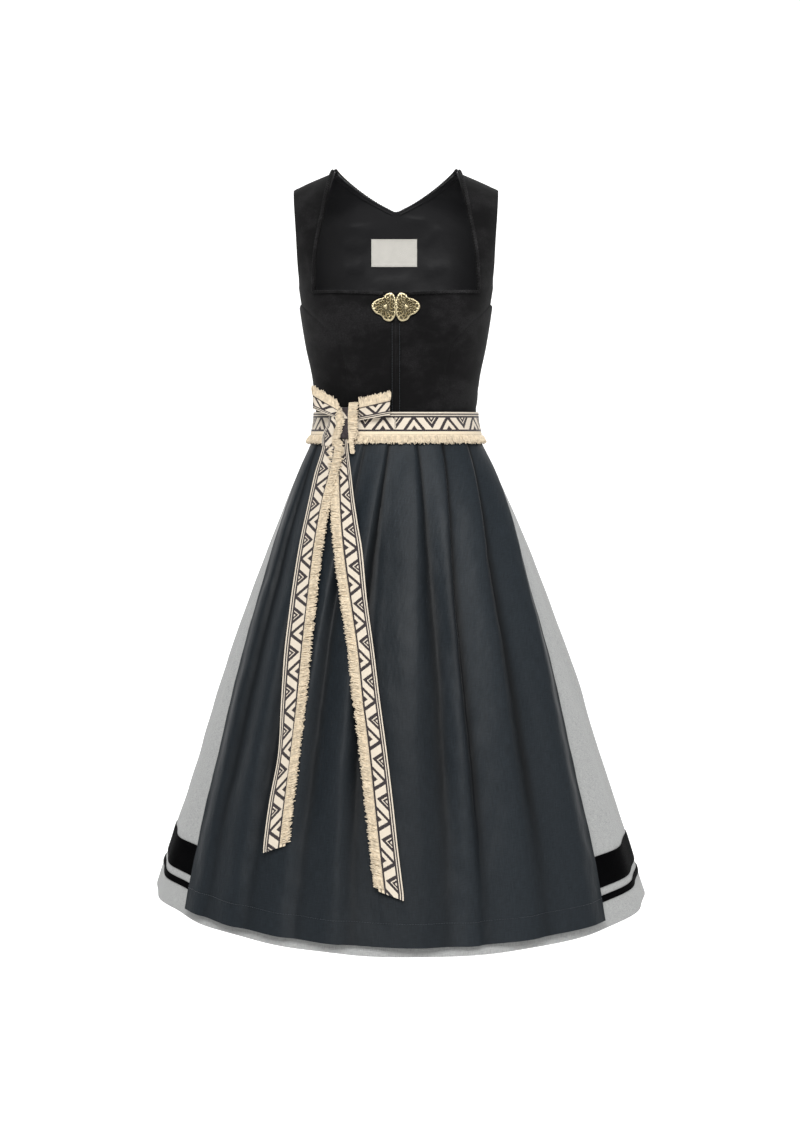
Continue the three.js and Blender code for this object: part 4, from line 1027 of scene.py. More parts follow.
def fringe_tree():
    """Thread loops that hang side by side from a path."""
    tree, given, result = growth_tree("fringe_loops", {
        "Pitch": "NodeSocketFloat", "Length": "NodeSocketFloat", "Width": "NodeSocketFloat",
        "Thread": "NodeSocketFloat", "Seed": "NodeSocketInt", "Material": "NodeSocketMaterial",
    })
    path = tree.add("GeometryNodeMeshToCurve", {"Mesh": given["Geometry"]}).outputs[0]
    even = tree.add("GeometryNodeResampleCurve", {"Curve": path, "Length": given["Pitch"]}, mode="LENGTH")
    ring = tree.add("GeometryNodeCurvePrimitiveCircle", {"Resolution": 9, "Radius": 0.5}, mode="RADIUS")
    size = tree.add("ShaderNodeCombineXYZ", {0: given["Width"], 1: given["Length"], 2: 1.0})
    low = tree.add("ShaderNodeCombineXYZ", {2: tree.math("MULTIPLY", given["Length"], -0.5)})
    oval = tree.add("GeometryNodeTransform", {"Geometry": ring.outputs[0], "Scale": size.outputs[0]})
    hung = tree.add("GeometryNodeTransform", {
        "Geometry": oval.outputs[0], "Rotation": (pi / 2, 0, 0), "Translation": low.outputs[0],
    })
    profile = tree.add("GeometryNodeCurvePrimitiveCircle", {"Resolution": 4, "Radius": given["Thread"]},
                       mode="RADIUS")
    loop = tree.add("GeometryNodeCurveToMesh", {
        "Curve": hung.outputs[0], "Profile Curve": profile.outputs[0],
    })
    turn = tree.add("FunctionNodeAxesToRotation", {
        "Primary Axis": vector_attribute(tree, "root_up"),
        "Secondary Axis": vector_attribute(tree, "root_out"),
    }, primary_axis="Z", secondary_axis="Y")
    stretch = tree.add("FunctionNodeRandomValue", {
        "Min": (0.8, 0.8, 0.74), "Max": (1.25, 1.25, 1.1), "Seed": given["Seed"],
    }, data_type="FLOAT_VECTOR")
    sway = tree.add("FunctionNodeRandomValue", {
        "Min": (-0.16, -0.12, -1.3), "Max": (0.16, 0.12, 1.3), "Seed": given["Seed"],
    }, data_type="FLOAT_VECTOR")
    set_out = tree.add("GeometryNodeInstanceOnPoints", {
        "Points": even.outputs[0], "Instance": loop.outputs[0], "Rotation": turn.outputs[0],
        "Scale": stretch.outputs[0],
    })
    swung = tree.add("GeometryNodeRotateInstances", {
        "Instances": set_out.outputs[0], "Rotation": sway.outputs[0], "Local Space": True,
    })
    return grown(tree, given, result, swung.outputs[0])


def grown(tree, given, result, instances):
    """Ends a tree: real geometry, smooth, with its material."""
    real = tree.add("GeometryNodeRealizeInstances", {0: instances})
    soft = tree.add("GeometryNodeSetShadeSmooth", {0: real.outputs[0]})
    painted = tree.add("GeometryNodeSetMaterial", {0: soft.outputs[0], "Material": given["Material"]})
    tree.tree.links.new(painted.outputs[0], result.inputs[0])
    return tree.tree


def stitch_tree():
    """Short stitches that follow a path."""
    tree, given, result = growth_tree("stitches", {
        "Pitch": "NodeSocketFloat", "Length": "NodeSocketFloat", "Thread": "NodeSocketFloat",
        "Material": "NodeSocketMaterial",
    })
    path = tree.add("GeometryNodeMeshToCurve", {"Mesh": given["Geometry"]}).outputs[0]
    even = tree.add("GeometryNodeResampleCurve", {"Curve": path, "Length": given["Pitch"]}, mode="LENGTH")
    half = tree.math("MULTIPLY", given["Length"], 0.5)
    start = tree.add("ShaderNodeCombineXYZ", {0: tree.math("MULTIPLY", half, -1.0)})
    end = tree.add("ShaderNodeCombineXYZ", {0: half})
    middle = tree.add("ShaderNodeCombineXYZ", {2: tree.math("MULTIPLY", given["Thread"], 1.2)})
    bow = tree.add("GeometryNodeCurveQuadraticBezier", {
        "Resolution": 4, "Start": start.outputs[0], "Middle": middle.outputs[0], "End": end.outputs[0],
    })
    profile = tree.add("GeometryNodeCurvePrimitiveCircle", {"Resolution": 5, "Radius": given["Thread"]},
                       mode="RADIUS")
    body = tree.add("GeometryNodeCurveToMesh", {
        "Curve": bow.outputs[0], "Profile Curve": profile.outputs[0], "Fill Caps": True,
    })
    turn = tree.add("FunctionNodeAxesToRotation", {
        "Primary Axis": vector_attribute(tree, "root_out"),
        "Secondary Axis": tree.add("GeometryNodeInputTangent").outputs[0],
    }, primary_axis="Z", secondary_axis="X")
    set_out = tree.add("GeometryNodeInstanceOnPoints", {
        "Points": even.outputs[0], "Instance": body.outputs[0], "Rotation": turn.outputs[0],
    })
    return grown(tree, given, result, set_out.outputs[0])


def grow(name, path, directions, make_tree, closed=False, **inputs):
    """A plain mesh that a geometry tree grows along a path with stored directions."""
    path = np.asarray(path, float) * MM
    count = len(path)
    edges = [(i, i + 1) for i in range(count - 1)]
    if closed:
        edges.append((count - 1, 0))
    mesh = bpy.data.meshes.new(name + "_path")
    mesh.from_pydata(path.tolist(), edges, [])
    for key, values in directions.items():
        layer = mesh.attributes.new(key, "FLOAT_VECTOR", "POINT")
        layer.data.foreach_set("vector", np.asarray(values, np.float32).ravel())
    carrier = placed(name + "_path", mesh)
    group = bpy.data.node_groups.get(make_tree.__name__) or make_tree()
    group.name = make_tree.__name__
    modifier = carrier.modifiers.new("growth", "NODES")
    modifier.node_group = group
    for item in group.interface.items_tree:
        if item.in_out == "INPUT" and item.name in inputs:
            modifier[item.identifier] = inputs[item.name]
    graph = bpy.context.evaluated_depsgraph_get()
    shape = bpy.data.meshes.new_from_object(carrier.evaluated_get(graph), depsgraph=graph)
    bpy.data.objects.remove(carrier)
    shape.name = name
    for key in directions:
        if key in shape.attributes:
            shape.attributes.remove(shape.attributes[key])
    return placed(name, shape)


def joined(name, parts):
    """Several pieces made one."""
    first = parts[0]
    with bpy.context.temp_override(active_object=first, object=first, selected_editable_objects=parts,
                                   selected_objects=parts):
        bpy.ops.object.join()
    first.name = name
    return first


def cut_sheet(piece, held, rests_on, width, length, share=1.0, **more):
    """Gives the piece back unchanged and declares nothing; its cut in millimetres is not used, and share, its
    flat area in that rectangle, is not used.
    """
    return piece


class DirndlColours(PropertyGroup):
    """Colours of the dress's cloths, leather and metal."""

    suede: FloatVectorProperty(
        name="Suede", description="Suede of the bodice", subtype="COLOR", size=3,
        default=(0.0075, 0.0073, 0.0076))
    satin: FloatVectorProperty(
        name="Lining", description="Satin lining", subtype="COLOR", size=3,
        default=(0.008, 0.008, 0.0088))
    skirt: FloatVectorProperty(
        name="Skirt", description="Melange cloth of the skirt", subtype="COLOR", size=3,
        default=(0.345, 0.35, 0.345))
    velvet: FloatVectorProperty(
        name="Velvet", description="Velvet bands", subtype="COLOR", size=3,
        default=(0.0006, 0.0006, 0.0008))
    apron: FloatVectorProperty(
        name="Apron", description="Taffeta of the apron", subtype="COLOR", size=3,
        default=(0.0108, 0.0148, 0.0188))
    ribbon: FloatVectorProperty(
        name="Ribbon", description="Light threads of the ribbon", subtype="COLOR", size=3,
        default=(0.68, 0.6, 0.49))
    pattern: FloatVectorProperty(
        name="Pattern", description="Dark threads of the ribbon", subtype="COLOR", size=3,
        default=(0.022, 0.016, 0.018))
    fringe: FloatVectorProperty(
        name="Fringe", description="Threads of the fringe", subtype="COLOR", size=3,
        default=(0.68, 0.575, 0.425))
    metal: FloatVectorProperty(
        name="Metal", description="Antique metal of the clasp", subtype="COLOR", size=3,
        default=(0.5, 0.43, 0.27))
    label: FloatVectorProperty(
        name="Label", description="Woven label", subtype="COLOR", size=3,
        default=(0.63, 0.61, 0.56))


class DirndlThreads(PropertyGroup):
    """Sizes of the fringe's loops and of the stitches."""

    pitch: FloatProperty(
        name="Loop pitch", description="Distance from one loop to the next", unit="LENGTH", default=0.001)
    width: FloatProperty(
        name="Loop width", description="Width of one thread loop", unit="LENGTH", default=0.0026)
    thread: FloatProperty(
        name="Thread", description="Half thickness of the fringe's thread", unit="LENGTH", default=0.0006)
    seed: IntProperty(name="Seed", description="Changes how the loops fall", default=7, min=0)
    stitch: FloatProperty(
        name="Stitch", description="Length of one stitch", unit="LENGTH", default=0.0026)
    stitch_gap: FloatProperty(
        name="Stitch pitch", description="Distance from one stitch to the next", unit="LENGTH",
        default=0.0036)


class DirndlStudio(PropertyGroup):
    """The stage's colour and its lights."""

    backdrop: FloatVectorProperty(
        name="Backdrop", description="Pale floor and backdrop", subtype="COLOR", size=3,
        default=(0.92, 0.92, 0.92))
    key: FloatProperty(name="Key", description="Main soft light", subtype="POWER", default=120.0)
    fill: FloatProperty(
        name="Fill", description="Weaker light from the other side", subtype="POWER", default=18.0)
    sky: FloatProperty(name="Sky", description="Even light from all round", default=0.42, min=0)
    glow: FloatProperty(name="Glow", description="Glow of the backdrop", default=0.42, min=0)


PANEL_WIDTH = 90.0
SEAM_DIP = 3.0
SEAM_DEPTH = 0.9
BODICE_CREASES = [
    ("front", 62, -352, 20, -338, 5, 1.9), ("front", -62, -352, -22, -336, 5, 1.9),
    ("front", 70, -330, 34, -318, 6, 1.6), ("front", -70, -332, -32, -322, 6, 1.6),
    ("front", -79, -268, -58, -314, 5, 1.8), ("front", -62, -274, -14, -277, 4, 1.5),
    ("front", 52, -258, 64, -300, 5, 1.5), ("front", 20, -296, 60, -282, 5, 1.3),
    ("front", 66, -300, 44, -262, 7, 0.8), ("front", -66, -300, -44, -262, 7, 0.8),
    ("front", 108, -160, 122, -128, 4, 0.7), ("front", -108, -162, -124, -130, 4, 0.7),
    ("front", 128, -152, 140, -108, 5, 0.6), ("front", -128, -152, -140, -108, 5, 0.6),
    ("left", -30, -345, 30, -330, 5, 1.0), ("left", -20, -312, 36, -322, 5, 0.8),
    ("right", -30, -342, 30, -332, 5, 1.0), ("right", -24, -318, 34, -310, 5, 0.8),
    ("back", -60, -350, 4, -334, 6, 1.2), ("back", 62, -346, 8, -326, 6, 1.1),
    ("back", -40, -318, 30, -308, 7, 0.9), ("back", 90, -150, 128, -120, 7, 0.9),
    ("back", -90, -150, -128, -118, 7, 0.9),
]


def suede_relief(place, u, v):
    """Soft unevenness and creases of the fitted suede."""
    low = 1 - smooth(-345, -300, place[..., 2])
    return 0.25 * ripple(place, 46, 3) * (1 + low) - creases(place, BODICE_CREASES)


def panel_relief(place, u, v):
    """The same on a panel, whose long edges are turned in at the seams."""
    near = np.exp(-((u * PANEL_WIDTH / SEAM_DIP) ** 2)) + np.exp(-(((1 - u) * PANEL_WIDTH / SEAM_DIP) ** 2))
    return suede_relief(place, u, v) - SEAM_DEPTH * near


# Each panel's neighbour, the width and length of its cut, and its share of that rectangle
BODICE_CUTS = {
    "front": ("side_front", 150, 385, 0.55), "side_front": ("front", 125, 175, 0.86),
    "side_back": ("side_front", 115, 175, 0.84), "back": ("side_back", 165, 400, 0.73),
}


class DIRNDL_OT_bodice(Operator):
    """Makes the eight suede panels of the bodice"""

    bl_idname = "dirndl.bodice"
    bl_label = "Bodice"

    def execute(self, context):
        skin = shared("suede_nap", suede, context.scene.dirndl_colours)
        front_us = np.concatenate([spread(0, NECK_SHARE, 24), spread(NECK_SHARE, 1, 10)[1:]])
        front_vs = np.concatenate([spread(0, 8, 44), spread(8, 9, 5)[1:], spread(9, 17, 40)[1:]])
        back_vs = np.concatenate([spread(0, 8, 40), spread(8, V_ROW, 15)[1:],
                                  spread(V_ROW, V_ROW + BACK_V_ROWS, 30)[1:]])
        side_vs = spread(0, LOWER_ROWS, 44)
        cloth = {"outer": 0, "inner": -LEATHER, "relief": panel_relief}
        for name, side in SIDES.items():
            panels = {
                "front": wall(f"front_{name}_suede", seamed(front_panel(side)), front_us, front_vs,
                              filled=lambda u, v: (v < NECK_ROW) | (u > NECK_SHARE), guide=FRONT,
                              limits=front_limits, **cloth),
                "side_front": wall(f"side_front_{name}_suede", seamed(side_panel(side, False)),
                                   spread(0, 1, 18), side_vs, guide=(side, 0, 0), **cloth),
                "side_back": wall(f"side_back_{name}_suede", seamed(side_panel(side, True)),
                                  spread(0, 1, 18), side_vs, guide=(side, 0, 0), **cloth),
                "back": wall(f"back_{name}_suede", seamed(back_panel(side)), spread(0, 1, 30), back_vs,
                             guide=BACK, **cloth),
            }
            for part, piece in panels.items():
                dress(piece, "suede", skin, f"bodice_{part}_{name}")
                mate, *cut = BODICE_CUTS[part]
                cut_sheet(piece, "stretched", [f"{mate}_{name}_suede"], *cut)
        return {"FINISHED"}


def facing_surface(side):
    """The strip along the back neck edge; w is 0 at the edge and 1 at its inner side."""
    panel = back_panel(side)

    def surface(w, v):
        full = np.linalg.norm(panel(w * 0 + 1, v) - panel(w * 0, v), axis=-1)
        return panel(w * FACING_WIDTH / full, v)

    return surface


LINING_LAP = 0.05
LINING_CREASES = [
    ("back", -84, -88, -44, -87, 6, 1.5), ("back", -80, -124, -50, -121, 6, 1.4),
    ("back", -74, -60, -30, -63, 5, 1.0), ("back", 6, -48, 48, -50, 5, 0.9),
    ("back", 40, -90, 66, -60, 7, 1.2), ("back", 44, -128, 84, -118, 7, 1.3),
    ("back", -40, -150, 30, -146, 7, 1.2), ("back", -90, -160, -50, -190, 7, 1.3),
    ("back", 60, -160, 92, -200, 7, 1.2), ("back", -30, -230, 40, -240, 8, 1.4),
]


def lining_relief(place, u, v):
    """Soft dents of the lining, which hangs a little loose."""
    return 0.2 * ripple(place, 50, 5) - 0.25 - creases(place, LINING_CREASES)


class DIRNDL_OT_lining(Operator):
    """Makes the back lining and the ridged facing of the back neck"""

    bl_idname = "dirndl.lining"
    bl_label = "Lining"

    def execute(self, context):
        cloth = shared("lining_satin", satin, context.scene.dirndl_colours)
        depth = LEATHER + SEAM
        top = V_ROW + BACK_V_ROWS
        for name, side in SIDES.items():
            vs = np.concatenate([spread(0, V_ROW, 60), spread(V_ROW, top - 0.06, 44)[1:]])
            outer = -depth if side > 0 else -depth - LINING_LAP
            lining = wall(f"lining_{name}_satin", back_panel(side), spread(-0.004, 1, 56), vs, outer,
                          outer - LINING, guide=BACK, relief=lining_relief)
            dress(lining, "satin_lining", cloth, f"back_lining_{name}")
            cut_sheet(lining, "laid", [f"back_{name}_suede"], 165, 400, 0.72)
            inside = depth + LINING + 0.7
            shares = spread(0.02, 1, 24)

            def ridge(w, v):
                return -inside - 0.75 - 0.6 * np.abs(np.sin(2 * pi * np.clip(w, 0, 1))) ** 0.7

            facing = wall(f"neck_facing_{name}", seamed(facing_surface(side)), shares,
                          spread(V_ROW, top - 0.2, 40), -inside, ridge, guide=BACK)
            dress(facing, "satin_lining", cloth, f"back_neck_facing_{name}")
        return {"FINISHED"}


def neck_path(side, count=150):
    """Points of the front piping's seat with the direction away from the cloth."""
    panel = front_panel(side)
    strap_v = spread(NECK_ROW + STRAP_ROWS, NECK_ROW + 0.25, count)
    strap_u = np.full(strap_v.shape, NECK_SHARE + 0.015)
    low_u = spread(NECK_SHARE + 0.0075, 0.13, count // 2)
    low_v = np.full(low_u.shape, NECK_ROW - 0.16)
    places = []
    aways = []
    for u, v, guide in ((strap_u, strap_v, (0, -1, 0.2)), (low_u, low_v, (0, -1, 0))):
        normal = normals(panel, u, v, front_limits(u, np.where(v > NECK_ROW, v, NECK_ROW)))
        normal = turned(normal, guide)
        places.append(panel(u, v) + normal * (PIPING_RADIUS + SEAM))
        aways.append(normal)
    return np.concatenate(places), np.concatenate(aways)


def back_neck_path(count=120):
    """Points of the back piping's seat with the direction away from the cloth."""
    places = []
    aways = []
    for side in (-1, 1):
        panel = back_panel(side)
        v = spread(V_ROW + 0.05, V_ROW + BACK_V_ROWS, count)[::-1]
        u = np.full(v.shape, 0.015)
        normal = normals(panel, u, v, (0, 1, 0, V_ROW + BACK_V_ROWS))
        normal = turned(normal, (0, 1, 0.2))
        half = panel(u, v) + normal * (PIPING_RADIUS + SEAM)
        if side > 0:
            half, normal = half[:-1][::-1], normal[:-1][::-1]
        places.append(half)
        aways.append(normal)
    return np.concatenate(places), np.concatenate(aways)


def even_path(places, aways, gap):
    """The same path with points at an even distance."""
    along = arcs(places, 0)
    marks = np.linspace(0, along[-1], int(along[-1] / gap))
    point = np.stack([np.interp(marks, along, places[:, k]) for k in range(3)], axis=-1)
    away = np.stack([np.interp(marks, along, aways[:, k]) for k in range(3)], axis=-1)
    return point, unit(away)


def crinkle(turn, along):
    """A cord gathered over its core: slanted puckers with an uneven beat."""
    beat = 2 * pi * along / 4.6 + 0.5 * np.sin(along / 9)
    return 0.2 * np.sin(beat + turn) + 0.07 * np.sin(2.3 * beat - 2 * turn)


class DIRNDL_OT_trims(Operator):
    """Makes the crinkled piping of the neckline and the strips beside the front opening"""

    bl_idname = "dirndl.trims"
    bl_label = "Piping and plackets"

    def execute(self, context):
        skin = shared("suede_nap", suede, context.scene.dirndl_colours)
        # A copy of the suede 2.2 times as light, which paints the light that the crinkled cord catches
        cord = shared("suede_piping", suede, context.scene.dirndl_colours, "suede_piping", 2.2)
        for name, side in SIDES.items():
            path, away = even_path(*neck_path(side), 0.9)
            dress(tube(f"piping_front_{name}", path, away, PIPING_RADIUS * 0.94, 12, crinkle), "suede", cord,
                  f"neck_piping_front_{name}")

            def strip(w, v, way=side):
                return torso_at(way * lerp(SEAM / 2, PLACKET_WIDTH, w), lower_z(v, FRONT_TOP))

            def crown(w, v):
                return PLACKET_LIFT + 0.9 - 0.25 * np.abs(2 * w - 1) ** 4

            piece = wall(f"placket_{name}", strip, spread(0, 1, 8), spread(0, 6.6, 60), crown, PLACKET_LIFT,
                         guide=FRONT, relief=suede_relief)
            dress(piece, "suede", skin, f"front_placket_{name}")
        path, away = even_path(*back_neck_path(), 0.9)
        dress(tube("piping_back", path, away, PIPING_RADIUS * 0.94, 12, crinkle), "suede", cord,
              "neck_piping_back")
        return {"FINISHED"}


class DIRNDL_OT_label(Operator):
    """Makes the bare label in the back neck, sewn all round"""

    bl_idname = "dirndl.label"
    bl_label = "Label"

    def execute(self, context):
        colours = context.scene.dirndl_colours
        threads = context.scene.dirndl_threads
        inside = LEATHER + SEAM + LINING + 0.8
        half_width, half_height, x, z = 35.5, 21.5, -3.0, -100.0

        def sheet(across, up):
            return torso_at(across, up, True)

        def hemmed(across, up):
            edge = np.minimum(half_width - np.abs(across - x), half_height - np.abs(up - z))
            return -inside - 0.6 - 0.25 * (1 - smooth(2.5, 3.5, edge))

        piece = wall("label", sheet, spread(x - half_width, x + half_width, 48),
                     spread(z - half_height, z + half_height, 30), -inside, hemmed, guide=BACK)
        dress(piece, "label_cloth", shared("label_weave", label_cloth, colours), "back_label")
        cut_sheet(piece, "folded", ["lining_left_satin"], 71, 43)
        inset = 1.8
        right, low = x - half_width + inset, z - half_height + inset
        left, high = x + half_width - inset, z + half_height - inset
        corners = [(right, low), (left, low), (left, high), (right, high)]
        places = []
        for (x0, z0), (x1, z1) in zip(corners, corners[1:] + corners[:1]):
            share = spread(0, 1, 30)[:-1]
            places.append(sheet(lerp(x0, x1, share), lerp(z0, z1, share)))
        path = np.concatenate(places)
        path[:, 1] -= inside + 0.95
        sewn = grow("label_stitches", path, {"root_out": np.tile(FRONT, (len(path), 1))}, stitch_tree, True,
                    Pitch=0.0030, Length=0.0021, Thread=0.00022,
                    Material=shared("label_thread", thread, "label_thread", shade(colours.label, 0.9)))
        dress(sewn, "label_cloth", FINISHES["label_thread"])
        return {"FINISHED"}


SKIRT_CREASES = [
    ("front", 150, -960, 205, -860, 14, 3.0), ("front", -215, -900, -238, -1010, 16, 3.0),
    ("left", -60, -640, -20, -820, 14, 3.0), ("left", 70, -560, 110, -760, 13, 3.0),
    ("left", 10, -880, 30, -1040, 15, 3.0), ("right", -40, -600, -70, -800, 14, 3.0),
    ("right", 50, -520, 60, -700, 12, 3.0), ("right", 90, -840, 120, -1010, 15, 3.0),
    ("back", -60, -560, -90, -760, 14, 3.5), ("back", 30, -520, 20, -720, 13, 3.5),
    ("back", 110, -600, 150, -820, 15, 3.5), ("back", -150, -760, -190, -980, 16, 3.0),
]


def skirt_relief(place, u, v):
    """Secondary folds and small dents of the hanging skirt, stronger lower down."""
    fall = smooth(-400, -700, place[..., 2])
    swell = 1.8 * ripple(place, 150, 11, (1, 1, 0.3)) + 0.7 * ripple(place, 55, 12, (1, 1, 0.5))
    return fall * swell - 2.2 * fall - creases(place, SKIRT_CREASES) * fall


def band_levels():
    """Levels of the velvet bands' edges from the hem upward."""
    height = 90
    flare = (SKIRT.read("half", HEM_Z) - SKIRT.read("half", HEM_Z + height)) / height
    along = np.cumsum([BAND_HEM, BAND_NARROW, BAND_BETWEEN, BAND_WIDE])
    return HEM_Z + along / np.hypot(1, flare)


class DIRNDL_OT_skirt(Operator):
    """Makes the four flared panels of the skirt"""

    bl_idname = "dirndl.skirt"
    bl_label = "Skirt"

    def execute(self, context):
        cloth = shared("skirt_melange", wool, context.scene.dirndl_colours)
        for name, start in SKIRT_PANELS.items():
            end = start + 4
            piece = wall(f"skirt_{name}_wool", seamed(skirt_surface, start, end), spread(start, end, 80),
                         spread(WAIST_Z - SEAM, HEM_Z, 110), 0, -SKIRT_CLOTH, relief=skirt_relief)
            dress(piece, "skirt_wool", cloth, f"skirt_{name}")
            cut_sheet(piece, "hung", ["belt_ribbon_woven"], 610, 790, 0.66)
        return {"FINISHED"}


class DIRNDL_OT_velvet(Operator):
    """Makes the two velvet bands above the hem"""

    bl_idname = "dirndl.velvet"
    bl_label = "Velvet bands"

    def execute(self, context):
        cloth = shared("velvet_pile", velvet, context.scene.dirndl_colours)
        narrow_low, narrow_top, wide_low, wide_top = band_levels()
        around = spread(0, len(SKIRT_DEPTHS), 352)[:-1]
        for name, low, top in (("wide", wide_low, wide_top), ("narrow", narrow_low, narrow_top)):
            rows = spread(low, top, 10 if name == "wide" else 5)

            def pile(u, v, low=low, top=top):
                return SEAM + VELVET * (1 - 0.4 * np.abs(2 * (v - low) / (top - low) - 1) ** 6)

            piece = wall(f"band_{name}_velvet", skirt_surface, around, rows, pile, SEAM, closed=True,
                         guide=BACK, relief=skirt_relief)
            dress(piece, "velvet", cloth, f"velvet_band_{name}")
            cut_sheet(piece, "laid", [f"skirt_{part}_wool" for part in SKIRT_PANELS], 2280,
                      BAND_WIDE + 1 if name == "wide" else BAND_NARROW + 1)
        return {"FINISHED"}


APRON_CREASES = [
    ("front", -18, -470, -40, -760, 6, 3.0), ("front", 60, -600, 96, -800, 8, 2.0),
    ("front", -120, -640, -178, -900, 10, 2.5), ("front", 150, -620, 214, -860, 10, 2.5),
    ("front", 20, -820, 34, -1040, 12, 2.0), ("front", -90, -900, -104, -1050, 12, 2.0),
]
# Width of the painted shade in the groove beside a pleat, at the top and lower down
GROOVE_TOP = 2.4
GROOVE_LOW = 7.0


def apron_relief(place, u, z):
    """Crisp secondary dents of the taffeta."""
    fall = smooth(-400, -560, z)
    dents = 0.9 * ripple(place, 90, 21, (1, 1, 0.25)) + 0.45 * ripple(place, 34, 22, (1, 1, 0.5))
    return fall * (dents + 1.1) - creases(place, APRON_CREASES) * fall * 0.5


class DIRNDL_OT_apron(Operator):
    """Makes the pleated apron"""

    bl_idname = "dirndl.apron"
    bl_label = "Apron"

    def execute(self, context):
        cloth = shared("apron_taffeta", taffeta, context.scene.dirndl_colours)
        rows = np.concatenate([spread(WAIST_Z - SEAM, -520, 34), spread(-520, HEM_Z + APRON_HEM, 90)[1:]])
        across = spread(0, len(PLEAT_HEIGHT), 320)
        piece = wall("apron_taffeta_cloth", apron_surface, across, rows, APRON_CLOTH, 0,
                     guide=FRONT, relief=apron_relief)
        self.paint_fold_shade(piece, *np.meshgrid(across, rows, indexing="ij"))
        dress(piece, "taffeta", cloth, "apron")
        cut_sheet(piece, "gathered", ["belt_ribbon_woven"], 760, 730, 0.75)
        return {"FINISHED"}

    @staticmethod
    def paint_fold_shade(piece, u, z):
        """Stores painted light and shade at each point: painted shade in the grooves beside the pleats, a
        painted tone for each pleat, lighter towards each pleat's middle and darker lower down.
        """
        pleats = len(PLEAT_HEIGHT)
        here = np.clip(np.floor(u).astype(int), 0, pleats - 1)
        share = u - here
        radius = skirt_radius(0, z)
        width = (pleat_angle(here + 1, z) - pleat_angle(here, z)) * radius
        reach_here = lerp(GROOVE_TOP, GROOVE_LOW, smooth(-400, -640, z))
        ahead = PLEAT_GROOVE_SHADE[here] * np.exp(-((1 - share) * width / reach_here / 1.5) ** 2)
        behind = np.where(here > 0, PLEAT_GROOVE_SHADE[here - 1], 0) * np.exp(-((share * width / reach_here) ** 2))
        fade = 1 - 0.75 * smooth(-820, -1040, z)
        rise = np.sin(pi * np.clip(share, 0, 1))
        tone = np.interp(u, np.arange(pleats) + 0.5, PLEAT_PAINTED_LIGHT)
        tone = lerp(np.ones_like(tone), tone, smooth(-420, -560, z)) * (1 - 0.1 * smooth(-560, -800, z))
        # Painted shade in the grooves, a painted highlight towards each pleat's middle, and each pleat's
        # painted light and shade
        light = (1 - np.maximum(ahead, behind) * fade) * (0.8 + 0.2 * rise) * tone
        store(piece, "fold", np.tile(light.ravel(), 2))


def belt_uv(u, v, place):
    """Length and width of the belt in millimetres, the stripes at its top."""
    along = arcs(place, 0)[:, :1] + 0 * v
    return np.stack([along, (BELT_TOP - v) / (BELT_TOP - BELT_LOW) * RIBBON_WIDTH], axis=-1)


def belt_surface(angle, z):
    """The belt round the waist."""
    angle = np.where(angle > pi, angle - 2 * pi, angle)
    return polar(belt_radius(angle, z), angle, z)


def fringe_piece(name, root, up, out, threads, length, closed=False, seed=0):
    """Hanging thread loops in one layer along a root line."""
    material = shared("fringe_thread", thread, "fringe_thread", bpy.context.scene.dirndl_colours.fringe)
    return grow(name, root, {"root_up": up, "root_out": out}, fringe_tree, closed, Pitch=threads.pitch,
                Length=length * MM, Width=threads.width, Thread=threads.thread, Seed=threads.seed + seed,
                Material=material)


def fringe_layers(name, root, up, out, threads, length, seed, closed=False, start=0.0, gap=0.8):
    """Two layers of thread loops, the outer one a little shorter."""
    layers = []
    for k in range(2):
        line = root + out * (start + gap * k)
        layers.append(fringe_piece(f"{name}_{k}", line, up, out, threads, length - k, closed, seed + k))
    return layers


class DIRNDL_OT_belt(Operator):
    """Makes the woven belt and its fringe"""

    bl_idname = "dirndl.belt"
    bl_label = "Belt"

    def execute(self, context):
        colours = context.scene.dirndl_colours
        threads = context.scene.dirndl_threads
        around = spread(0, 2 * pi, 288)[:-1]
        piece = wall("belt_ribbon_woven", belt_surface, around, spread(BELT_TOP, BELT_LOW, 12), RIBBON, 0,
                     closed=True, guide=BACK, across=belt_uv,
                     relief=lambda p, u, v: 0.3 * ripple(p, 40, 31))
        dress(piece, "woven_ribbon", shared("zigzag_weave", ribbon, colours), "belt_ribbon")
        cut_sheet(piece, "laid", ["bodice_front_left", "skirt_front"], 700, RIBBON_WIDTH)
        root_z = BELT_LOW - SEAM - 1.2
        root = belt_surface(around, root_z + 0 * around)
        tip = belt_surface(around, FRINGE_LOW + 0 * around)
        up = unit(root - tip)
        out = np.stack([np.sin(around), -np.cos(around), 0 * around], axis=-1)
        root = root + out * 0.75
        parts = fringe_layers("belt_loops", root, up, out, threads, 12.8, 0, True, -0.3, 0.9)
        strip = wall("belt_heading", belt_surface, around, spread(BELT_LOW - SEAM, BELT_LOW - 3.2, 2),
                     RIBBON * 0.9, 0.1, closed=True, guide=BACK)
        strip.data.materials.append(FINISHES["fringe_thread"])
        dress(joined("belt_fringe_loops", [strip, *parts]), "cream_fringe", FINISHES["fringe_thread"],
              "belt_fringe")
        return {"FINISHED"}


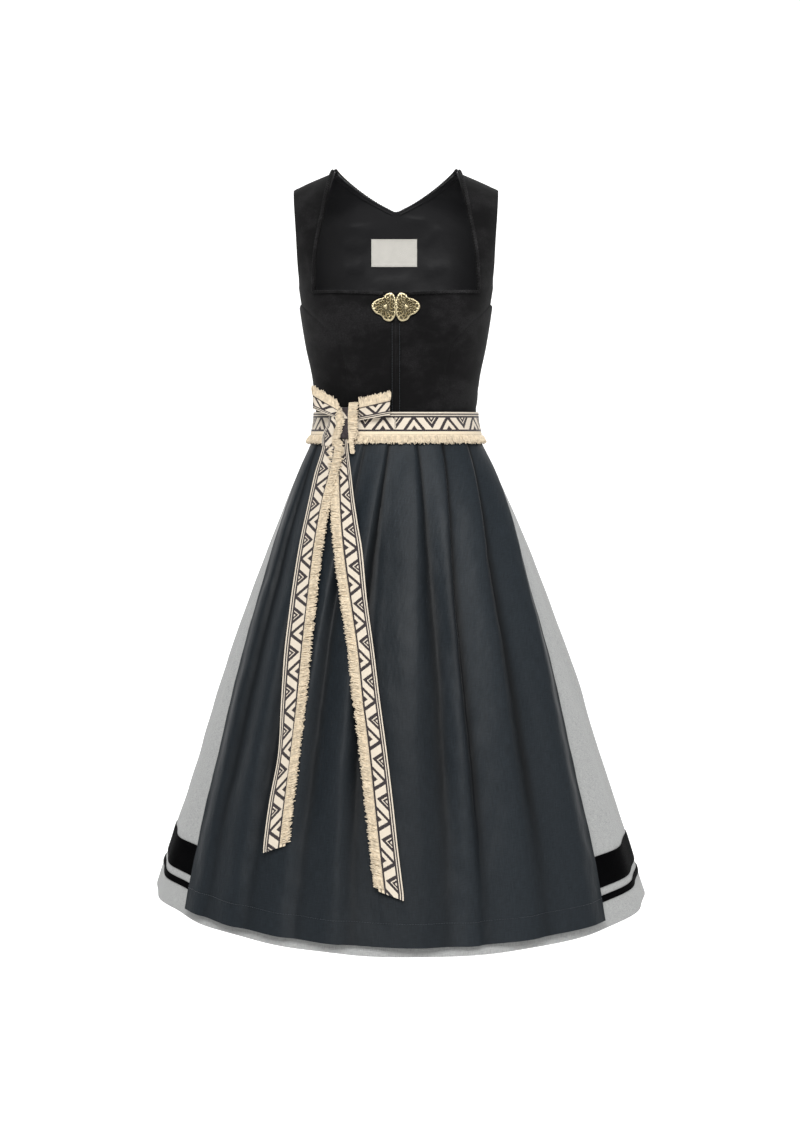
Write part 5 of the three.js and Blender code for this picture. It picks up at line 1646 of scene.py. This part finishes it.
class DIRNDL_OT_bow(Operator):
    """Makes the two loops and the two hanging ends with their fringes"""

    bl_idname = "dirndl.bow"
    bl_label = "Bow"

    def execute(self, context):
        colours = context.scene.dirndl_colours
        threads = context.scene.dirndl_threads
        cloth = shared("zigzag_weave", ribbon, colours)
        for name, table in TAILS.items():
            surface = tail_surface(table)

            def tail_uv(u, v, place, way=name):
                along = arcs(place, 1)[:1] * PATTERN_STRETCH + PATTERN_START[way] + 0 * u
                return np.stack([along, u / RIBBON_SHARE * RIBBON_WIDTH], axis=-1)

            def wave(place, u, v):
                return 0.9 * np.sin(place[..., 2] / 31) * smooth(0, 0.15, v) + 0.5 * ripple(place, 60, 41)

            piece = wall(f"tail_{name}_ribbon", surface, spread(0, RIBBON_SHARE, 14),
                         spread(0, 1, 150) ** 1.15, RIBBON, 0, guide=FRONT, across=tail_uv, relief=wave)
            dress(piece, "woven_ribbon", cloth, f"bow_tail_{name}")
            cut_sheet(piece, "hung", ["bow_knot_folds"], RIBBON_WIDTH, 640 if name == "left" else 590)
            v = spread(0.01, 0.99, 200)
            root = surface(np.full(v.shape, FRINGE_SHARE), v)
            tip = surface(np.full(v.shape, 1.0), v)
            normal = normals(surface, np.full(v.shape, 0.9), v, (0, 1, 0, 1))
            normal = turned(normal, FRONT)
            up = unit(root - tip)
            root = root + normal * (RIBBON + 0.9)
            parts = fringe_layers(f"tail_loops_{name}", root, up, normal, threads, 14.6, 3)
            strip = wall(f"tail_heading_{name}", surface, spread(RIBBON_SHARE + 0.026, RIBBON_SHARE + 0.1, 2),
                         spread(0, 1, 120), RIBBON * 0.9, 0.1, guide=FRONT)
            strip.data.materials.append(FINISHES["fringe_thread"])
            dress(joined(f"tail_fringe_{name}", [strip, *parts]), "cream_fringe",
                  FINISHES["fringe_thread"], f"bow_tail_fringe_{name}")
        for name, loop in LOOPS.items():
            surface = loop_surface(loop)

            def loop_uv(u, v, place):
                return np.stack([arcs(place, 0)[:, :1] + 0 * v, (v * RIBBON_WIDTH) + 0 * u], axis=-1)

            piece = wall(f"loop_{name}_ribbon", surface, spread(0.03, 0.97, 90), spread(0, 1, 14), RIBBON / 2,
                         -RIBBON / 2, guide=(loop[1] - loop[0], 0, 0), across=loop_uv,
                         relief=lambda p, u, v: 0.5 * ripple(p, 26, 51))
            dress(piece, "woven_ribbon", cloth, f"bow_loop_{name}")
            cut_sheet(piece, "folded", ["bow_knot_folds"], 26, 100 if name == "left" else 80)
            u = spread(0.04, 0.56, 70)
            out = np.tile(FRONT, (len(u), 1))
            root = surface(u, np.full(u.shape, 0.86)) + out * (RIBBON / 2 + 0.9)
            up = np.tile((0.0, 0.0, -1.0), (len(u), 1))
            parts = fringe_layers(f"loop_loops_{name}", root, up, out, threads, 14.5, 5)
            material = FINISHES["fringe_thread"]
            dress(joined(f"loop_fringe_{name}", parts), "cream_fringe", material, f"bow_loop_fringe_{name}")
        return {"FINISHED"}


def wrap_surface(u, v):
    """The ribbon across the knot; u is 0 at its stripes and 1 at its fringe, v goes down it."""
    x = lerp(WRAP.read("edge_x", v), WRAP.read("root_x", v), u)
    z = lerp(WRAP.read("edge_z", v), WRAP.read("root_z", v), u)
    lift = WRAP.read("out", v) - WRAP_ROLL * (1 - np.sin(pi * np.clip(u, 0, 1)) ** 0.5)
    return on_radius(lambda angle, at: belt_radius(angle, at) + lift, x, z)


class DIRNDL_OT_knot(Operator):
    """Makes the knot of the bow: its core, the ribbon that wraps it and its fringes"""

    bl_idname = "dirndl.knot"
    bl_label = "Knot"

    def execute(self, context):
        colours = context.scene.dirndl_colours
        threads = context.scene.dirndl_threads
        cloth = shared("zigzag_weave", ribbon, colours)
        left, right, top, low = -88.0, -58.0, -340.0, -388.0

        def surface(x, z):
            return on_radius(belt_radius, x, z)

        def arch(value, start, end):
            return np.sin(pi * np.clip((value - start) / (end - start), 0, 1)) ** 0.7

        def outer(x, z):
            gathers = 0.7 * np.sin((x + 0.35 * z) / 1.7) * arch(x, left, right)
            return RIBBON + 6.5 + 5.5 * arch(x, left, right) * arch(z, low, top) + gathers

        # Painted shade: the core is mapped onto the ribbon's dark line, whose dark threads paint the shade of
        # the knot's hollow, all but the light scrap
        def core_shade_uv(x, z, place):
            away = (x - SCRAP[0]) * (SCRAP[3] - SCRAP[1]) - (z - SCRAP[1]) * (SCRAP[2] - SCRAP[0])
            away = np.abs(away) / np.hypot(SCRAP[2] - SCRAP[0], SCRAP[3] - SCRAP[1])
            return np.stack([z * 0.2, np.where((away < 2) & (z > SCRAP[3]), 0.8, 2.8)], axis=-1)

        core = wall("bow_knot_folds", surface, spread(left, right, 44), spread(low, top, 60), outer,
                    RIBBON + SEAM, guide=FRONT, across=core_shade_uv)
        dress(core, "woven_ribbon", cloth, "bow_knot")

        def wrap_uv(u, v, place):
            return np.stack([arcs(place, 1)[:1] + 20 + 0 * u, u * 29], axis=-1)

        wrapped = wall("bow_knot_wrap", wrap_surface, spread(0, 1, 18), spread(0, 1, 50), RIBBON, 0,
                       guide=FRONT, across=wrap_uv, relief=lambda p, u, v: 0.4 * ripple(p, 16, 61))
        dress(wrapped, "woven_ribbon", cloth)
        cut_sheet(wrapped, "folded", ["bow_knot_folds"], 20, 46)
        v = spread(0.02, 0.98, 60)
        root = wrap_surface(np.full(v.shape, 0.9), v)
        tip = on_radius(lambda angle, at: belt_radius(angle, at) + WRAP.read("out", v), WRAP.read("tip_x", v),
                        WRAP.read("tip_z", v))
        out = np.tile(FRONT, (len(v), 1))
        up = unit(root - tip)
        parts = fringe_layers("wrap_loops", root, up, out, threads, 13.5, 11, start=RIBBON + 0.8)
        for start, end, length in ((-334, -385, 14.0), (-382, -406, 6.5)):
            z = spread(start, end, int(start - end))
            lift = FALL.read("out", z)
            root_x = FALL.read("root_x", z)
            root = on_radius(lambda angle, at, lift=lift: belt_radius(angle, at) + lift, root_x, z)
            tip = root + np.stack([FALL.read("tip_x", z) - root_x, 0 * z, 0 * z], axis=-1)
            up = unit(root - tip)
            out = np.tile(FRONT, (len(z), 1))
            parts += fringe_layers(f"fall_loops_{start}", root, up, out, threads, length, 13)
        dress(joined("bow_knot_fringe", parts), "cream_fringe", FINISHES["fringe_thread"])
        return {"FINISHED"}


CLASP_OUTLINE = Rows("reach", [
    (-180, 14.6), (-140, 19), (-111, 21.8), (-85, 18.5), (-62, 13.9), (-30, 17), (5, 20.6), (38, 16.8),
    (73, 13.8), (95, 19), (116, 22.4), (145, 18.5), (180, 14.6),
])
CLASP_RELIEF = Rows("height", [
    (0, 3.6), (0.15, 3.4), (0.22, 0.8), (0.8, 0.7), (0.86, 2.8), (0.95, 2.8), (1, 1.0),
])


class DIRNDL_OT_clasp(Operator):
    """Makes the two halves of the lobed clasp"""

    bl_idname = "dirndl.clasp"
    bl_label = "Clasp"

    def execute(self, context):
        material = shared("aged_brass_painted_shade", metal, context.scene.dirndl_colours)
        around = spread(-pi, pi, 264)[:-1]
        shares = np.concatenate([[1e-5], spread(0.03, 0.78, 34), spread(0.8, 1, 14)])

        def ornament(turn, share):
            zone = smooth(0.18, 0.25, share) * (1 - smooth(0.8, 0.86, share))
            ribs = smooth(0.25, 0.8, np.cos(turn * 15 + 1.9 * np.sin(share * 10)))
            rings = 0.9 * (np.exp(-(((share - 0.5) / 0.04) ** 2)) + np.exp(-(((share - 0.68) / 0.03) ** 2)))
            beads = np.maximum(np.cos(turn * 34), 0) * np.exp(-(((share - 0.87) / 0.045) ** 2))
            return (2.2 * ribs + 1.9 * rings) * zone + 0.7 * beads

        for name, side in SIDES.items():

            def surface(turn, share, way=side):
                wrapped = (np.degrees(turn) + 180) % 360 - 180
                out = CLASP_OUTLINE.read("reach", wrapped) * share
                x = np.maximum(15 + out * np.cos(turn), 0.2)
                return torso_at(way * x, -195.7 + out * np.sin(turn))

            def outer(turn, share):
                return 1.3 + CLASP_RELIEF.read("height", share) + ornament(turn, share)

            piece = wall(f"clasp_{name}_metal", surface, around, shares, outer, SEAM * 2, closed=True,
                         guide=FRONT, sharp=70)
            self.mark_height(piece)
            dress(piece, "antique_metal", material, f"clasp_{name}")
        return {"FINISHED"}

    @staticmethod
    def mark_height(piece):
        """Stores how far each point stands out, for the patina and painted shade of the hollows."""
        x, y, z = vertex_places(piece)
        base = -torso_at(x, z)[:, 1]
        store(piece, "height", np.clip((-y - base - 2.4) / 1.8, 0, 1))


class DIRNDL_OT_stitches(Operator):
    """Sews the apron's hem and the edges of the front strips"""

    bl_idname = "dirndl.stitches"
    bl_label = "Stitches"

    def execute(self, context):
        threads = context.scene.dirndl_threads
        colours = context.scene.dirndl_colours
        dark = shared("dark_thread", thread, "dark_thread", shade(colours.apron, 1.5), 0.5)
        u = spread(0.02, len(PLEAT_HEIGHT) - 0.02, 1200)
        z = np.full(u.shape, HEM_Z + APRON_HEM + 30)
        normal = normals(apron_surface, u, z, (0, len(PLEAT_HEIGHT), HEM_Z, WAIST_Z))
        normal = turned(normal, FRONT)
        path = apron_surface(u, z)
        lift = APRON_CLOTH + apron_relief(path, u, z) + 0.1
        hem = grow("apron_hem_stitches", path + normal * lift[:, None], {"root_out": normal}, stitch_tree,
                   Pitch=threads.stitch_gap, Length=threads.stitch, Thread=0.0003, Material=dark)
        dress(hem, "taffeta", dark)
        lines = []
        for side in SIDES.values():
            v = spread(0.05, 6.5, 80)
            x = side * np.full(v.shape, 5.4)
            place = torso_at(x, lower_z(v, FRONT_TOP))
            out = np.tile(FRONT, (len(v), 1))
            path = place + out * (1.35 + suede_relief(place, v, v))[:, None]
            lines.append(grow(f"placket_stitches_{side}", path, {"root_out": out}, stitch_tree,
                              Pitch=threads.stitch_gap, Length=threads.stitch, Thread=0.00028, Material=dark))
        dress(joined("placket_stitches", lines), "suede", dark)
        return {"FINISHED"}


class DIRNDL_OT_stage(Operator):
    """Makes the pale floor and backdrop, the soft lights and the camera"""

    bl_idname = "dirndl.stage"
    bl_label = "Stage"

    def execute(self, context):
        studio = context.scene.dirndl_studio
        profile = [(-6.0, -1.62), (3.0, -1.62)]
        profile += [(3.0 + 1.4 * np.sin(t), -0.22 - 1.4 * np.cos(t)) for t in np.linspace(0, pi / 2, 16)[1:]]
        profile.append((4.4, 6.0))
        points = [(x, y, z) for y, z in profile for x in (-9.0, 9.0)]
        faces = [(2 * k, 2 * k + 1, 2 * k + 3, 2 * k + 2) for k in range(len(profile) - 1)]
        mesh = bpy.data.meshes.new("backdrop")
        mesh.from_pydata(points, [], faces)
        mesh.shade_smooth()
        mesh.materials.append(plain("studio_paper", studio.backdrop[:], 0.9, studio.glow))
        placed("backdrop", mesh)
        lamps = (
            ("key", (-0.3, -2.9, 1.7), 1.6, studio.key), ("fill", (2.4, -2.0, 0.4), 2.2, studio.fill),
            ("top", (0.0, 0.2, 2.2), 2.4, studio.fill), ("back", (0.5, 2.6, 1.2), 2.0, studio.fill),
        )
        for name, place, size, power in lamps:
            lamp = bpy.data.lights.new(name, "AREA")
            lamp.size = size
            lamp.energy = power
            holder = placed(name, lamp)
            holder.location = place
            aim = Vector((0, 0, -0.6)) - Vector(place)
            holder.rotation_euler = aim.to_track_quat("-Z", "Y").to_euler()
        world = bpy.data.worlds.new("studio")
        world.use_nodes = True
        world.node_tree.nodes["Background"].inputs[0].default_value = (1, 1, 1, 1)
        world.node_tree.nodes["Background"].inputs[1].default_value = studio.sky
        context.scene.world = world
        context.scene.view_settings.view_transform = "Standard"
        lens = bpy.data.cameras.new("camera")
        lens.sensor_width = SENSOR
        lens.lens = SENSOR * FOCAL_PIXELS / FRAME_HEIGHT
        lens.shift_y = SHIFT_PIXELS / FRAME_HEIGHT
        lens.clip_end = 50
        camera = placed("camera", lens)
        camera.location = CAMERA_PLACE
        camera.rotation_euler = (pi / 2, 0, 0)
        context.scene.camera = camera
        return {"FINISHED"}


OPERATORS = (
    DIRNDL_OT_stage, DIRNDL_OT_bodice, DIRNDL_OT_lining, DIRNDL_OT_trims, DIRNDL_OT_label, DIRNDL_OT_skirt,
    DIRNDL_OT_velvet, DIRNDL_OT_apron, DIRNDL_OT_belt, DIRNDL_OT_knot, DIRNDL_OT_bow, DIRNDL_OT_clasp,
    DIRNDL_OT_stitches,
)


class DIRNDL_PT_panel(Panel):
    """Lists the steps that make the dirndl"""

    bl_idname = "DIRNDL_PT_panel"
    bl_label = "Dirndl"
    bl_space_type = "VIEW_3D"
    bl_region_type = "UI"
    bl_category = "Dirndl"

    def draw(self, context):
        for step in OPERATORS:
            self.layout.operator(step.bl_idname)
        for group in ("dirndl_colours", "dirndl_threads", "dirndl_studio"):
            values = getattr(context.scene, group)
            box = self.layout.box()
            for name in values.bl_rna.properties.keys():
                if name not in ("rna_type", "name"):
                    box.prop(values, name)


GROUPS = {"dirndl_colours": DirndlColours, "dirndl_threads": DirndlThreads, "dirndl_studio": DirndlStudio}


def register():
    """Registers the groups, the steps and the panel."""
    for name, group in GROUPS.items():
        bpy.utils.register_class(group)
        setattr(bpy.types.Scene, name, PointerProperty(type=group))
    for step in (*OPERATORS, DIRNDL_PT_panel):
        bpy.utils.register_class(step)


def unregister():
    """Takes the panel, the steps and the groups away again."""
    for step in reversed((*OPERATORS, DIRNDL_PT_panel)):
        bpy.utils.unregister_class(step)
    for name, group in GROUPS.items():
        delattr(bpy.types.Scene, name)
        bpy.utils.unregister_class(group)


def main():
    """Makes every piece in order."""
    register()
    for step in OPERATORS:
        area, name = step.bl_idname.split(".")
        getattr(getattr(bpy.ops, area), name)()


if __name__ == "__main__":
    main()
